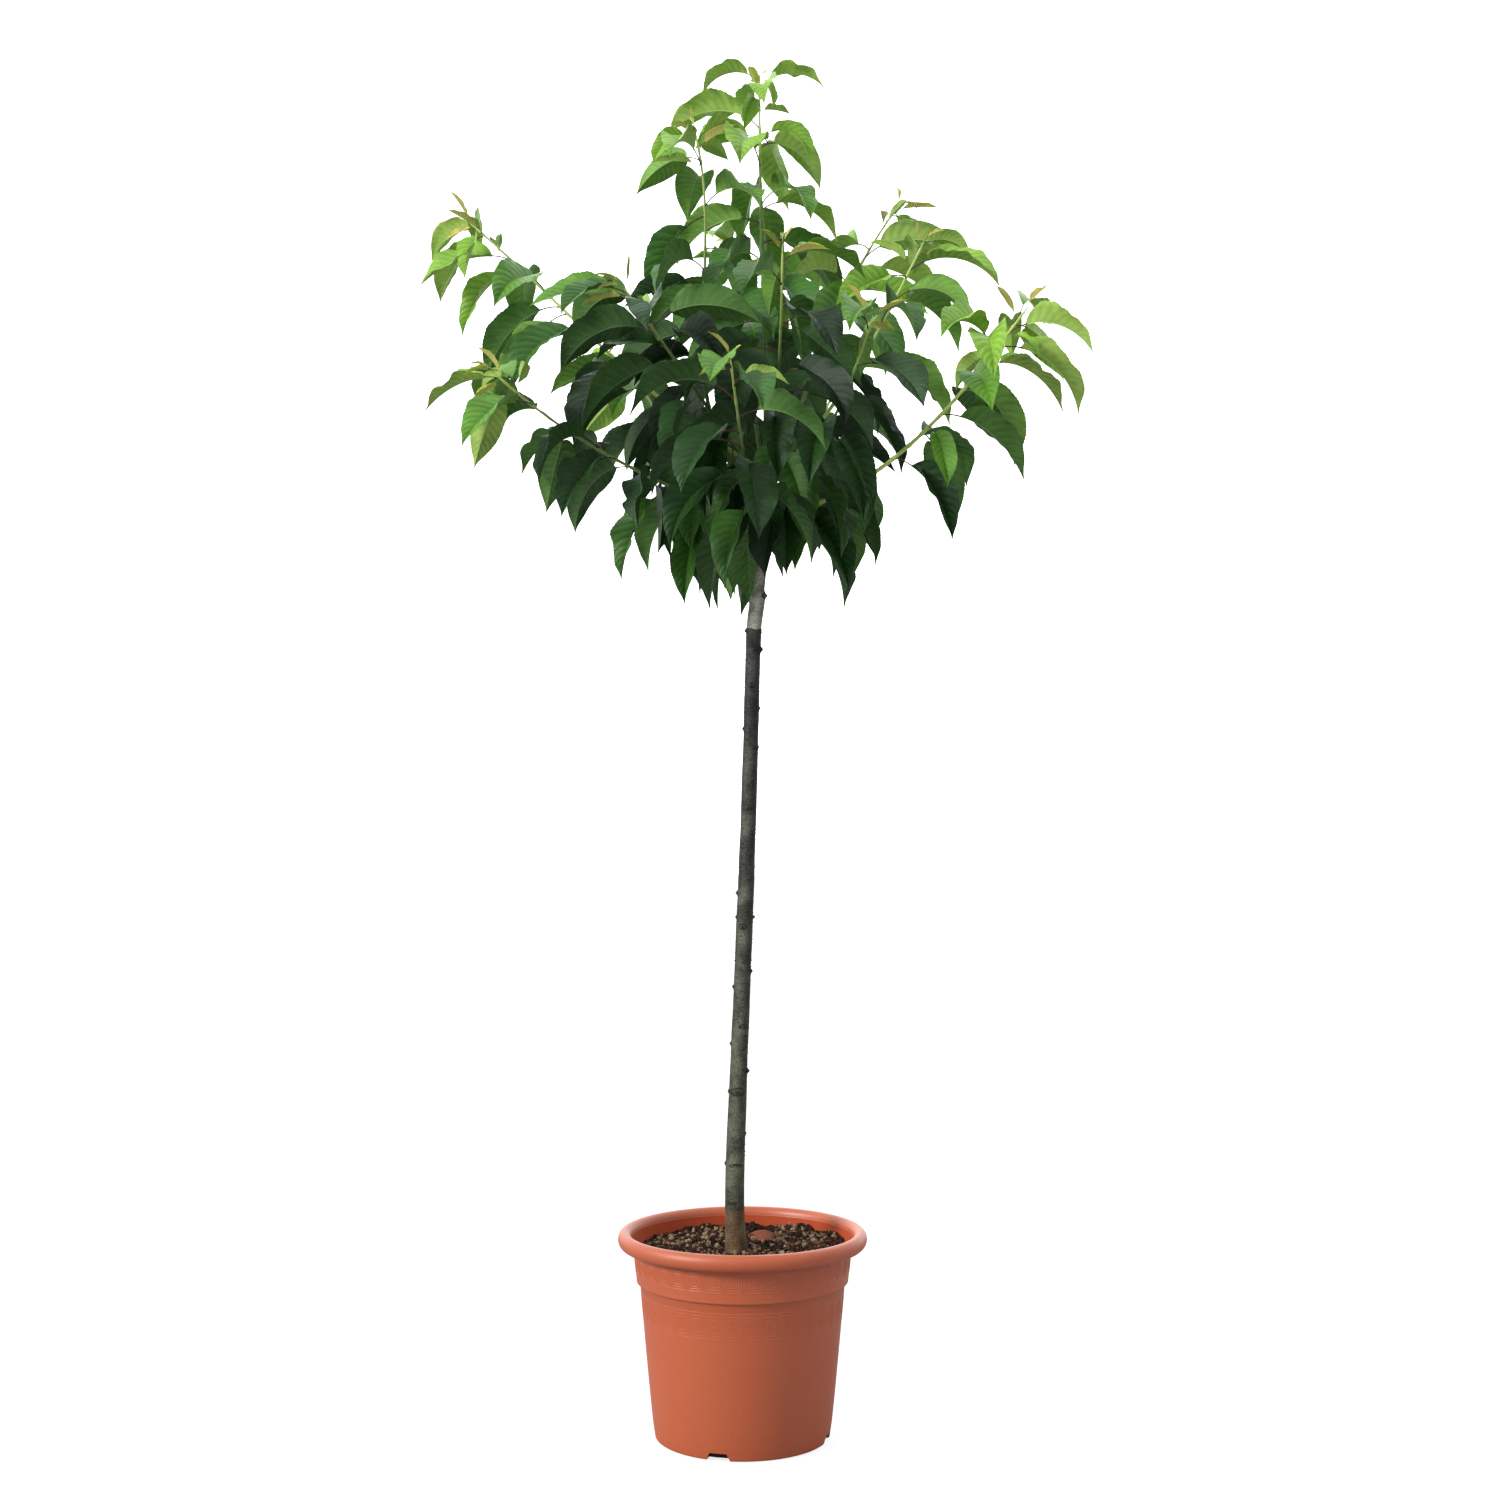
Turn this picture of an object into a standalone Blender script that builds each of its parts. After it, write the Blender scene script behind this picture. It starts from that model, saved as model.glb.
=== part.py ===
"""Potted sweet cherry tree: a young half standard, grafted at the head of a bare stem.

Metres, +Z up. The origin is the centre of the pot's flat underside, and the front of the
crown faces -Y. The stem stands in a filled pot. Shoots leave its head in turn, each as a
bare bough with a mass of foliage on it, and short leafy spurs close the middle of the crown.
"""
import math
import random
from collections import namedtuple

import bmesh
import bpy
from mathutils import Matrix, Vector
from mathutils.bvhtree import BVHTree
from mathutils.geometry import interpolate_bezier

GAP = 0.0003                    # between solids that touch in the real thing

# Pot, a turned and moulded shell with a rolled rim
SEGMENTS = 48
POT_HEIGHT = 0.2868
RIM_RADIUS = 0.175
ROLL_WIDE = 0.0094              # half of the rolled edge's width
ROLL_TALL = 0.0115              # half of its height
WALL = 0.003
FLOOR = 0.004
BASE_RADIUS = 0.1227
BODY_TOP_RADIUS = 0.1440        # where the body meets the step
STEP_HEIGHT = 0.2153
STEP_RISE = 0.0025
COLLAR_RADIUS = 0.1488          # just above the step
COLLAR_TOP_RADIUS = 0.1535      # just under the rolled edge
COLLAR_TOP = POT_HEIGHT - 2 * ROLL_TALL
BODY_FLARE = 0.87               # below 1 the wall opens faster near the base
BASE_FILLET = 0.003

# Drainage notches through the corner of wall and floor
NOTCH_COUNT = 4
NOTCH_FIRST = math.radians(-105.5)
NOTCH_HEIGHT = 0.0105
NOTCH_WIDTH = 0.034             # along the ground
NOTCH_TAPER = 0.010             # narrower at the top by this much
NOTCH_DEPTH = 0.022

# Soil, heaped higher at the back right
SOIL_TOP = 0.2560
SOIL_HEAP = 0.010
SOIL_HEAP_HEADING = math.radians(48)
SOIL_LEVEL_RADIUS = 0.032       # level ground round the foot of the stem

# Stem: height, lean to +X and radius at each station, from the soil to the head
HEAD_TOP = 1.372
STEM_SIDES = 10
STEM_STATIONS = (
    (SOIL_TOP + GAP, -0.0092, 0.0162),
    (0.285, -0.0104, 0.0146),
    (0.330, -0.0110, 0.0137),
    (0.480, -0.0065, 0.0127),
    (0.730, 0.0034, 0.0118),
    (0.948, 0.0109, 0.0109),
    (1.105, 0.0150, 0.0107),
    (1.138, 0.0163, 0.0121),
    (1.160, 0.0190, 0.0104),
    (1.192, 0.0238, 0.0088),
    (1.240, 0.0278, 0.0086),
    (1.300, 0.0308, 0.0092),
    (HEAD_TOP, 0.0332, 0.0078),
)

# Shoots: height of the root on the stem, compass heading of the tip (from +X, anticlockwise),
# reach and height of the tip, how steeply the shoot starts and ends, how far its start swings
# from that heading, radius at the root, length of the bare bough, number of leaves, seed
Shoot = namedtuple("Shoot", "name root heading reach top launch finish swing radius bare leaves seed")
SHOOTS = (
    Shoot("leader", HEAD_TOP + GAP, 114, 0.022, 1.949, 90, 91, 0, 0.0062, 0.045, 18, 258),
    Shoot("left_leader", 1.318, 205, 0.118, 1.855, 30, 68, 0, 0.0055, 0.060, 16, 212),
    Shoot("upright_front", 1.338, 275, 0.241, 1.640, 22, 88, 2, 0.0048, 0.055, 11, 184),
    Shoot("right_upper", 1.330, 31, 0.250, 1.790, 62, 48, 2, 0.0052, 0.060, 13, 158),
    Shoot("right_middle", 1.326, -24, 0.250, 1.680, 40, 62, -12, 0.0058, 0.055, 13, 188),
    Shoot("right_low", 1.290, -29, 0.416, 1.566, 6, 50, 6, 0.0060, 0.060, 15, 153),
    Shoot("left_middle", 1.332, 227, 0.298, 1.586, 44, 38, -8, 0.0046, 0.060, 12, 186),
    Shoot("far_left", 1.356, 172, 0.456, 1.748, 30, 40, 6, 0.0055, 0.065, 15, 252),
    Shoot("left_low", 1.276, 203, 0.415, 1.484, 22, 42, -8, 0.0050, 0.060, 14, 123),
    Shoot("back_upper", 1.341, 100, 0.270, 1.770, 50, 64, 0, 0.0047, 0.060, 13, 254),
    Shoot("back_right", 1.308, 72, 0.400, 1.580, 24, 44, -8, 0.0052, 0.060, 14, 100),
    Shoot("back_left", 1.300, 128, 0.390, 1.610, 24, 48, -8, 0.0052, 0.060, 14, 96),
    Shoot("back_low", 1.262, 88, 0.330, 1.450, 12, 40, 0, 0.0046, 0.055, 12, 64),
    Shoot("front_low", 1.270, 262, 0.330, 1.470, 8, 46, 0, 0.0048, 0.055, 12, 147),
    Shoot("front_right", 1.304, 299, 0.300, 1.540, 16, 58, 3, 0.0048, 0.060, 11, 23),
)

# Spurs: short leafy twigs that stand straight out of the stem, whose leaves hang
Spur = namedtuple("Spur", "name root heading length rise leaves seed")
SPURS = (
    Spur("spur_front", 1.319, 286, 0.080, 12, 6, 36),
    Spur("spur_front_left", 1.298, 232, 0.080, 25, 6, 198),
    Spur("spur_left", 1.290, 158, 0.085, 30, 6, 77),
    Spur("spur_right", 1.268, 16, 0.085, 30, 6, 25),
    Spur("spur_back", 1.290, 48, 0.080, 30, 6, 281),
)

# Limbs
LIMB_SIDES = 5
LIMB_RING = 0.065               # about this far from ring to ring
SHOOT_POINTS = 60               # along a centre line before it is cut into rings
SPUR_POINTS = 20
HANDLE = 0.36                   # how long a shoot holds its first and last direction
SHOOT_TIP_RADIUS = 0.0018
SPUR_RADIUS = 0.0036
SPUR_TURN_UP = 15               # degrees

# Leaves
LEAF_LENGTH = 0.138             # the longest blade
LEAF_WIDTH = 0.47               # of its length
LEAF_THICKNESS = 0.0125         # of its length
LEAF_FOLD = math.radians(20)    # each half lifts above the midrib
PETIOLE = 0.25                  # of the blade's length
PETIOLE_RADIUS = 0.0105         # of the blade's length
PETIOLE_RISE = 12               # degrees, the petiole above the start of the blade
BLADE_RINGS = ((0.18, 0.74), (0.47, 1.0), (0.78, 0.64), (1.0, 0.0))   # along the blade, share of its width
BLADE_STEPS = 5                 # from ring to ring, to follow the bend
BLADE_BEND = 0.85               # below 1 the blade bends more near the petiole

# Leaves on a limb. Angles are in degrees, a spread is how far chance takes a value each way
FIRST_LEAF = 0.012              # from the foot of the leafy part
LAST_LEAF = 0.006               # short of its tip
CROWDING = 0.93                 # below 1 the leaves crowd a little towards the tip
LEAF_TURN = 144                 # from one leaf to the next, round the shoot
TURN_SPREAD = 14
LEAN_ALONG = 0.75               # how far a petiole leans along the shoot, and how far up
LEAN_UP = 0.1
SHOOT_SIZES = ((0.0, 0.94), (0.4, 1.0), (0.75, 0.95), (0.88, 0.80), (0.95, 0.58), (1.0, 0.34))
SIZE_CHANCE = (0.88, 1.05)
LIFT_FOOT = -38                 # start of the blade above the level, on the lowest leaf
LIFT_GAIN = 52                  # and what it gains by the tip of the shoot
LIFT_FOLLOWS = 0.45             # of the petiole's own slope is added
LIFT_SPREAD = 10
LIFT_MOST = 48
DROOP_FOOT = -88                # end of the blade, on the lowest leaf
DROOP_GAIN = 46
DROOP_CHANCE = (-8, 12)
LEAST_BEND = 20
ROLL_FOOT = 62                  # the most that chance rolls a blade about its midrib
ROLL_LOSS = 36

# Leaves on a spur fan out to its sides and hang
SPUR_FAN = 260
SPUR_LEAFY = (0.32, 0.64)       # where its leaves start, and over how much of it they sit
SPUR_SIZES = (0.84, 1.04)
SPUR_LIFT = -18
SPUR_LIFT_GAIN = 22
SPUR_LIFT_SPREAD = 12
SPUR_DROOP = -84
SPUR_DROOP_CHANCE = (-6, 8)
SPUR_ROLL = 55

# Finding room: a leaf that would touch something swings aside and hangs lower, try by try
LEAF_CLEARANCE = 0.0022         # each side, to anything else
LEAF_TRIES = 14
TRY_SWING = 13
TRY_SINK = 4
LOWEST_DROOP = -93
FREE_PETIOLE = 0.5              # the outer part of a petiole also clears its own limb

# After all these, leaves that stand where the photo shows gaps are left out, by their order on the limb,
# and further ones are added where it shows leaves, each drawn from a seed of its own
THINNED = {
    "leader": (14, 16), "left_leader": (10,), "right_upper": (10,), "right_middle": (7,),
    "right_low": (1, 2, 3, 6), "far_left": (12,), "left_low": (7, 8), "back_low": (2,), "front_right": (5, 6),
    "spur_right": (3, 4), "spur_back": (0,),
}
FURTHER_SHARES = (0.06, 0.97)
FURTHER_SIZES = (0.5, 1.04)
FURTHER_LIFT = (-42, 34)
FURTHER_DROOP = (-96, -22)
FURTHER_ROLL = 68
FURTHER = {
    "leader": (889, 1640, 150, 968, 1560, 432, 20), "left_leader": (350, 876, 81, 302, 332, 866),
    "upright_front": (312, 1338), "right_upper": (106, 316, 1152),
    "right_middle": (487, 1031, 611, 1323), "right_low": (797, 980, 1096, 1139, 1247, 517, 68),
    "left_middle": (106, 785, 727), "far_left": (1411, 822, 1666, 417, 1475, 1263),
    "left_low": (477, 1331, 1341, 856, 1024, 647, 1536), "back_left": (202,),
}

# Leaves set by hand: how far up the leafy part, heading, lift, droop, length of the blade, roll
SET_LEAVES = {
    "leader": (
        (0.938, 352, 32, -50, 0.087, -12),
        (0.956, 187, 24, -66, 0.080, 12),
        (0.972, 325, -50, -86, 0.046, 0),
    ),
    "right_low": ((0.475, 292, -42, -88, 0.088, 15),),
}

UP = Vector((0, 0, 1))


# Small helpers

def clear_scene():
    """Take everything out of the open file."""
    for thing in list(bpy.data.objects):
        bpy.data.objects.remove(thing, do_unlink=True)


def material(name, colour, roughness):
    """A plain Principled material."""
    mat = bpy.data.materials.new(name)
    mat.use_nodes = True
    shader = mat.node_tree.nodes["Principled BSDF"]
    shader.inputs["Base Color"].default_value = (*colour, 1)
    shader.inputs["Roughness"].default_value = roughness
    shader.inputs["Metallic"].default_value = 0
    mat.diffuse_color = (*colour, 1)
    return mat


def add_object(name, bm, mat=None, smooth=None):
    """Put a bmesh into the scene as one object."""
    mesh = bpy.data.meshes.new(name)
    bm.to_mesh(mesh)
    bm.free()
    obj = bpy.data.objects.new(name, mesh)
    bpy.context.collection.objects.link(obj)
    if mat:
        mesh.materials.append(mat)
    if smooth is not None:
        mesh.shade_smooth()
        mesh.set_sharp_from_angle(angle=math.radians(smooth))
    return obj


def solid(verts, faces):
    """A bmesh with its faces made triangles and turned outwards."""
    bm = bmesh.new()
    corners = [bm.verts.new(v) for v in verts]
    for face in faces:
        bm.faces.new([corners[i] for i in face])
    bmesh.ops.triangulate(bm, faces=bm.faces)
    bmesh.ops.recalc_face_normals(bm, faces=bm.faces)
    return bm


def apply_boolean(obj, operation, cutter=None, collection=None):
    """Cut or join with the exact solver, and remove what was used up."""
    modifier = obj.modifiers.new("join", "BOOLEAN")
    modifier.operation = operation
    modifier.solver = "EXACT"
    if collection:
        modifier.operand_type = "COLLECTION"
        modifier.collection = collection
        used = list(collection.objects)
    else:
        modifier.object = cutter
        used = [cutter]
    bpy.context.view_layer.update()
    graph = bpy.context.evaluated_depsgraph_get()
    mesh = bpy.data.meshes.new_from_object(obj.evaluated_get(graph))
    obj.modifiers.clear()
    obj.data = mesh
    for thing in used:
        bpy.data.objects.remove(thing, do_unlink=True)
    if collection:
        bpy.data.collections.remove(collection)


def table(stations, at):
    """Read a value between the stations of a short table of (place, value)."""
    for (a, low), (b, high) in zip(stations, stations[1:]):
        if at <= b:
            return low + (high - low) * max(0.0, at - a) / (b - a)
    return stations[-1][1]


# Pot

def body_radius(height):
    """Outer radius of the pot's body, which opens a little faster near the base."""
    share = (height / STEP_HEIGHT) ** BODY_FLARE
    return BASE_RADIUS + (BODY_TOP_RADIUS - BASE_RADIUS) * share


def wall_line():
    """The wall's outer line from the base to the rolled edge, as (radius, height)."""
    line = [(BASE_RADIUS, BASE_FILLET)]
    line += [(body_radius(STEP_HEIGHT * share), STEP_HEIGHT * share) for share in (0.2, 0.55, 1)]
    line += [(COLLAR_RADIUS, STEP_HEIGHT + STEP_RISE), (COLLAR_TOP_RADIUS, COLLAR_TOP)]
    return line


def rim_line():
    """The rolled edge, from under its outer side, over the top and down to the inner lip."""
    centre = RIM_RADIUS - ROLL_WIDE
    level = POT_HEIGHT - ROLL_TALL
    for degrees in range(-135, 181, 45):
        turn = math.radians(degrees)
        yield centre + ROLL_WIDE * math.cos(turn), level + ROLL_TALL * math.sin(turn)


def inner_line(inset, floor):
    """The wall's inner line, set in from the outer one, from the top down to a floor."""
    points = [(radius - inset, height) for radius, height in reversed(wall_line()[1:])]
    return points + [(body_radius(floor) - inset, floor)]


def turned(profile):
    """Spin a profile of (radius, height) round the Z axis into a closed skin."""
    bm = bmesh.new()
    points = [bm.verts.new((radius, 0, height)) for radius, height in profile]
    edges = [bm.edges.new(pair) for pair in zip(points, points[1:])]
    bmesh.ops.spin(bm, geom=points + edges, cent=(0, 0, 0), axis=UP, angle=math.tau,
                   steps=SEGMENTS, use_merge=True)
    bmesh.ops.remove_doubles(bm, verts=bm.verts, dist=1e-6)
    bmesh.ops.recalc_face_normals(bm, faces=bm.faces)
    return bm


def make_pot():
    """A thin-walled pot with a rolled rim, a stepped collar and notches under the wall."""
    profile = [(0, 0), (BASE_RADIUS - BASE_FILLET, 0)] + wall_line() + list(rim_line())
    profile += inner_line(WALL, FLOOR) + [(0, FLOOR)]
    mat = material("terracotta plastic", (0.56, 0.17, 0.083), 0.42)
    pot = add_object("pot", turned(profile), mat, smooth=35)
    for index in range(NOTCH_COUNT):
        apply_boolean(pot, "DIFFERENCE", cutter=make_notch(NOTCH_FIRST + index * math.tau / NOTCH_COUNT))
    pot.data.set_sharp_from_angle(angle=math.radians(35))
    return pot


def make_notch(turn):
    """A block for one notch, wider at the ground than at its top."""
    bm = bmesh.new()
    bmesh.ops.create_cube(bm, size=1)
    for vert in bm.verts:
        top = vert.co.z > 0
        width = NOTCH_WIDTH - NOTCH_TAPER if top else NOTCH_WIDTH + NOTCH_TAPER
        height = NOTCH_HEIGHT if top else -NOTCH_HEIGHT
        vert.co = (BASE_RADIUS + vert.co.x * 2 * NOTCH_DEPTH, vert.co.y * width, height)
    bmesh.ops.rotate(bm, verts=bm.verts, cent=(0, 0, 0), matrix=Matrix.Rotation(turn, 3, "Z"))
    cutter = add_object("notch_cutter", bm)
    cutter.hide_render = True
    cutter.display_type = "WIRE"
    return cutter


# Soil

def soil_height(x, y):
    """Height of the soil: level round the stem, then heaped towards the back right."""
    radius = math.hypot(x, y)
    reach = COLLAR_TOP_RADIUS - WALL
    out = max(0.0, (radius - SOIL_LEVEL_RADIUS) / (reach - SOIL_LEVEL_RADIUS))
    side = 0.5 + 0.5 * math.cos(math.atan2(y, x) - SOIL_HEAP_HEADING)
    return SOIL_TOP + SOIL_HEAP * math.sin(math.pi * min(1.0, out) * 0.62) * (0.25 + 0.75 * side ** 2)


def make_soil():
    """The soil that fills the pot, close to its wall all the way down."""
    below = [point for point in inner_line(WALL + GAP, FLOOR + GAP) if point[1] < SOIL_TOP]
    edge_share = (SOIL_TOP - STEP_HEIGHT - STEP_RISE) / (COLLAR_TOP - STEP_HEIGHT - STEP_RISE)
    edge = COLLAR_RADIUS + (COLLAR_TOP_RADIUS - COLLAR_RADIUS) * edge_share - WALL - GAP
    rings = [edge - (edge - SOIL_LEVEL_RADIUS) * share for share in (0, 0.5, 1)]
    profile = [(0, SOIL_TOP)] + [(radius, SOIL_TOP) for radius in reversed(rings)] + below
    bm = turned(profile + [(0, FLOOR + GAP)])
    for vert in bm.verts:
        if vert.co.z > SOIL_TOP - GAP:
            vert.co.z = soil_height(vert.co.x, vert.co.y)
    bmesh.ops.triangulate(bm, faces=bm.faces)
    return add_object("soil", bm, material("potting soil", (0.045, 0.028, 0.018), 0.95))


# Limbs

def tube(points, radii, ways, sides=LIMB_SIDES):
    """Vertices and faces of a tapered limb, each ring square to its own way, with flat ends."""
    verts = []
    faces = []
    across = ways[0].orthogonal()
    for point, radius, way in zip(points, radii, ways):
        across = (across - way * across.dot(way)).normalized()
        other = way.cross(across)
        for side in range(sides):
            turn = math.tau * side / sides
            verts.append(point + (across * math.cos(turn) + other * math.sin(turn)) * radius)
    for ring in range(len(points) - 1):
        for side in range(sides):
            a = ring * sides + side
            b = ring * sides + (side + 1) % sides
            faces.append((a, b, b + sides, a + sides))
    faces.append(tuple(reversed(range(sides))))
    faces.append(tuple(range(len(verts) - sides, len(verts))))
    return verts, faces


def stem_at(height):
    """The stem's centre at a height."""
    lean = [(station[0], station[1]) for station in STEM_STATIONS]
    return Vector((table(lean, height), 0, height))


def stem_tube(extra=0.0):
    """The stem from the soil to its head, or the same made thicker by extra all round."""
    points = [Vector((lean, 0, height)) for height, lean, _ in STEM_STATIONS]
    radii = [radius + extra for _, _, radius in STEM_STATIONS]
    return tube(points, radii, [UP] * len(points), STEM_SIDES)


def compass(degrees, rise=0.0):
    """A unit direction from a heading and a rise above the level, in degrees."""
    level = math.cos(math.radians(rise))
    turn = math.radians(degrees)
    return Vector((math.cos(turn) * level, math.sin(turn) * level, math.sin(math.radians(rise))))


def shoot_line(shoot):
    """Centre line of a shoot from the middle of the stem to its tip, finely divided."""
    start = stem_at(shoot.root)
    start.z = shoot.root
    tip = start + compass(shoot.heading) * shoot.reach
    tip.z = shoot.top
    handle = (tip - start).length * HANDLE
    lead = start + compass(shoot.heading + shoot.swing, shoot.launch) * handle
    trail = tip - compass(shoot.heading, shoot.finish) * handle
    return interpolate_bezier(start, lead, trail, tip, SHOOT_POINTS)


def spur_line(spur):
    """Centre line of a spur, from the middle of the stem outwards, turning up a little."""
    root = stem_at(spur.root)
    out = compass(spur.heading, spur.rise)
    tip = root + compass(spur.heading, spur.rise + SPUR_TURN_UP) * spur.length
    return interpolate_bezier(root, root + out * spur.length / 3, tip - (tip - root) / 3, tip, SPUR_POINTS)


class Line:
    """A centre line that can be read at any distance from its start."""

    def __init__(self, points):
        self.points = points
        self.marks = [0.0]
        for a, b in zip(points, points[1:]):
            self.marks.append(self.marks[-1] + (b - a).length)
        self.length = self.marks[-1]

    def at(self, distance):
        """Point at a distance."""
        for index in range(1, len(self.marks)):
            if distance <= self.marks[index] or index == len(self.marks) - 1:
                span = self.marks[index] - self.marks[index - 1]
                share = (distance - self.marks[index - 1]) / span
                return self.points[index - 1].lerp(self.points[index], share)

    def along(self, distance):
        """Direction at a distance."""
        step = self.length / 50
        return (self.at(distance + step) - self.at(distance - step)).normalized()

    def stretch(self, start, end, root_radius, tip_radius):
        """Points, radii and directions for a limb between two distances."""
        count = max(3, round((end - start) / LIMB_RING)) + 1
        marks = [start + (end - start) * index / (count - 1) for index in range(count)]
        radii = [root_radius + (tip_radius - root_radius) * mark / self.length for mark in marks]
        return [self.at(mark) for mark in marks], radii, [self.along(mark) for mark in marks]


# Leaves

Leaf = namedtuple("Leaf", "root heading lift droop length roll")


def leaf_pitch(leaf, share):
    """Pitch of the blade at a share of its length: it leaves the petiole and bends down."""
    return leaf.lift + (leaf.droop - leaf.lift) * share ** BLADE_BEND


def leaf_rings(leaf, extra=0.0, petiole_from=0.0):
    """Rings of four points along a leaf: left edge, top of the midrib, right edge, underside."""
    stalk = leaf.length * PETIOLE
    rise = leaf.lift + PETIOLE_RISE
    foot = leaf.root + compass(leaf.heading, rise) * stalk * petiole_from
    point = leaf.root + compass(leaf.heading, rise) * stalk
    slim = leaf.length * PETIOLE_RADIUS + extra
    thick = leaf.length * LEAF_THICKNESS / 2 + extra
    sections = [(foot, rise, slim, slim, 0.0), (point, leaf.lift, slim, slim, 0.0)]
    mark = 0.0
    for share, width in BLADE_RINGS:
        for step in range(BLADE_STEPS):
            pitch = leaf_pitch(leaf, mark + (share - mark) * (step + 0.5) / BLADE_STEPS)
            point = point + compass(leaf.heading, pitch) * leaf.length * (share - mark) / BLADE_STEPS
        mark = share
        half = leaf.length * LEAF_WIDTH / 2 * width + extra
        sections.append((point, leaf_pitch(leaf, mark), half, thick, LEAF_FOLD))
    rings = []
    for centre, pitch, half, depth, fold in sections:
        out = compass(leaf.heading, pitch)
        side = Matrix.Rotation(math.radians(leaf.roll), 3, out) @ compass(leaf.heading + 90)
        top = out.cross(side)
        edge = side * half * math.cos(fold)
        lift = top * half * math.sin(fold)
        rings.append((centre + edge + lift, centre + top * depth, centre - edge + lift, centre - top * depth))
    return rings


def leaf_solid(leaf, extra=0.0, petiole_from=0.0):
    """Vertices and faces of a leaf, closed to a point at its tip."""
    rings = leaf_rings(leaf, extra, petiole_from)
    verts = [point for ring in rings[:-1] for point in ring]
    tip = sum(rings[-1], Vector()) / 4
    verts.append(tip)
    faces = [(3, 2, 1, 0)]
    for ring in range(len(rings) - 2):
        for side in range(4):
            a = ring * 4 + side
            b = ring * 4 + (side + 1) % 4
            faces.append((a, b, b + 4, a + 4))
    last = len(verts) - 5
    for side in range(4):
        faces.append((last + side, last + (side + 1) % 4, len(verts) - 1))
    return verts, faces


class Space:
    """What already fills the crown, to test a new leaf against."""

    def __init__(self):
        self.taken = []

    @staticmethod
    def box(verts):
        low = Vector([min(v[i] for v in verts) for i in range(3)])
        high = Vector([max(v[i] for v in verts) for i in range(3)])
        return low, high

    def add(self, verts, faces, name=None):
        """Mark a shape as taken."""
        self.taken.append((*self.box(verts), BVHTree.FromPolygons(verts, faces), name))

    def free(self, verts, faces, beside=None):
        """Say whether a shape touches nothing that is marked, beside the limb it grows on."""
        low, high = self.box(verts)
        tree = None
        for other_low, other_high, other, name in self.taken:
            if name and name == beside:
                continue
            if any(low[i] > other_high[i] or high[i] < other_low[i] for i in range(3)):
                continue
            tree = tree or BVHTree.FromPolygons(verts, faces)
            if tree.overlap(other):
                return False
        return True


def place_leaf(space, leaf, limb_name):
    """Turn a leaf a little until it touches nothing but the limb it grows on, or give it up."""
    for attempt in range(LEAF_TRIES):
        swing = (attempt + 1) // 2 * TRY_SWING * (1 if attempt % 2 else -1)
        sink = TRY_SINK * attempt
        tried = leaf._replace(heading=leaf.heading + swing, lift=leaf.lift - sink,
                              droop=max(leaf.droop - sink, LOWEST_DROOP),
                              roll=leaf.roll * (1 - attempt / LEAF_TRIES))
        whole = leaf_solid(tried, LEAF_CLEARANCE)
        outer = leaf_solid(tried, LEAF_CLEARANCE, FREE_PETIOLE)
        if space.free(*whole, beside=limb_name) and space.free(*outer):
            space.add(*leaf_solid(tried))
            return tried
    return None


def shoot_leaves(space, limb, shoot):
    """Leaves in a spiral up a shoot: large hanging ones below, small arching ones at the tip."""
    rng = random.Random(shoot.seed)
    placed = []
    turn = rng.uniform(0, 360)
    for index in range(shoot.leaves):
        share = (index + 0.35) / (shoot.leaves - 0.3)
        mark = FIRST_LEAF + (limb.length - FIRST_LEAF - LAST_LEAF) * share ** CROWDING
        along = limb.along(mark)
        out = Matrix.Rotation(math.radians(turn), 3, along) @ along.orthogonal().normalized()
        turn += LEAF_TURN + rng.uniform(-TURN_SPREAD, TURN_SPREAD)
        way = out + along * LEAN_ALONG + UP * LEAN_UP
        slope = math.degrees(math.asin(way.normalized().z))
        length = LEAF_LENGTH * table(SHOOT_SIZES, share) * rng.uniform(*SIZE_CHANCE)
        lift = LIFT_FOLLOWS * slope + LIFT_FOOT + LIFT_GAIN * share + rng.uniform(-LIFT_SPREAD, LIFT_SPREAD)
        droop = DROOP_FOOT + DROOP_GAIN * share ** 1.6 + rng.uniform(*DROOP_CHANCE)
        roll = rng.uniform(-1, 1) * (ROLL_FOOT - ROLL_LOSS * share)
        heading = math.degrees(math.atan2(way.y, way.x))
        leaf = Leaf(limb.at(mark), heading, min(lift, LIFT_MOST), min(droop, lift - LEAST_BEND), length, roll)
        placed.append(place_leaf(space, leaf, shoot.name))
    return [leaf for leaf in placed if leaf]


def spur_leaves(space, limb, spur):
    """Leaves that fan out from a spur and hang."""
    rng = random.Random(spur.seed)
    placed = []
    for index in range(spur.leaves):
        share = (index + 0.6) / spur.leaves
        fan = (index * LEAF_TURN / 360 + 0.5) % 1 - 0.5
        heading = spur.heading + SPUR_FAN * fan + rng.uniform(-LIFT_SPREAD, LIFT_SPREAD)
        length = LEAF_LENGTH * rng.uniform(*SPUR_SIZES)
        lift = SPUR_LIFT + SPUR_LIFT_GAIN * (share - 0.5) + rng.uniform(-SPUR_LIFT_SPREAD, SPUR_LIFT_SPREAD)
        droop = SPUR_DROOP + rng.uniform(*SPUR_DROOP_CHANCE)
        root = limb.at(limb.length * (SPUR_LEAFY[0] + SPUR_LEAFY[1] * share))
        leaf = Leaf(root, heading, lift, droop, length, rng.uniform(-SPUR_ROLL, SPUR_ROLL))
        placed.append(place_leaf(space, leaf, spur.name))
    return [leaf for leaf in placed if leaf]


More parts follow.
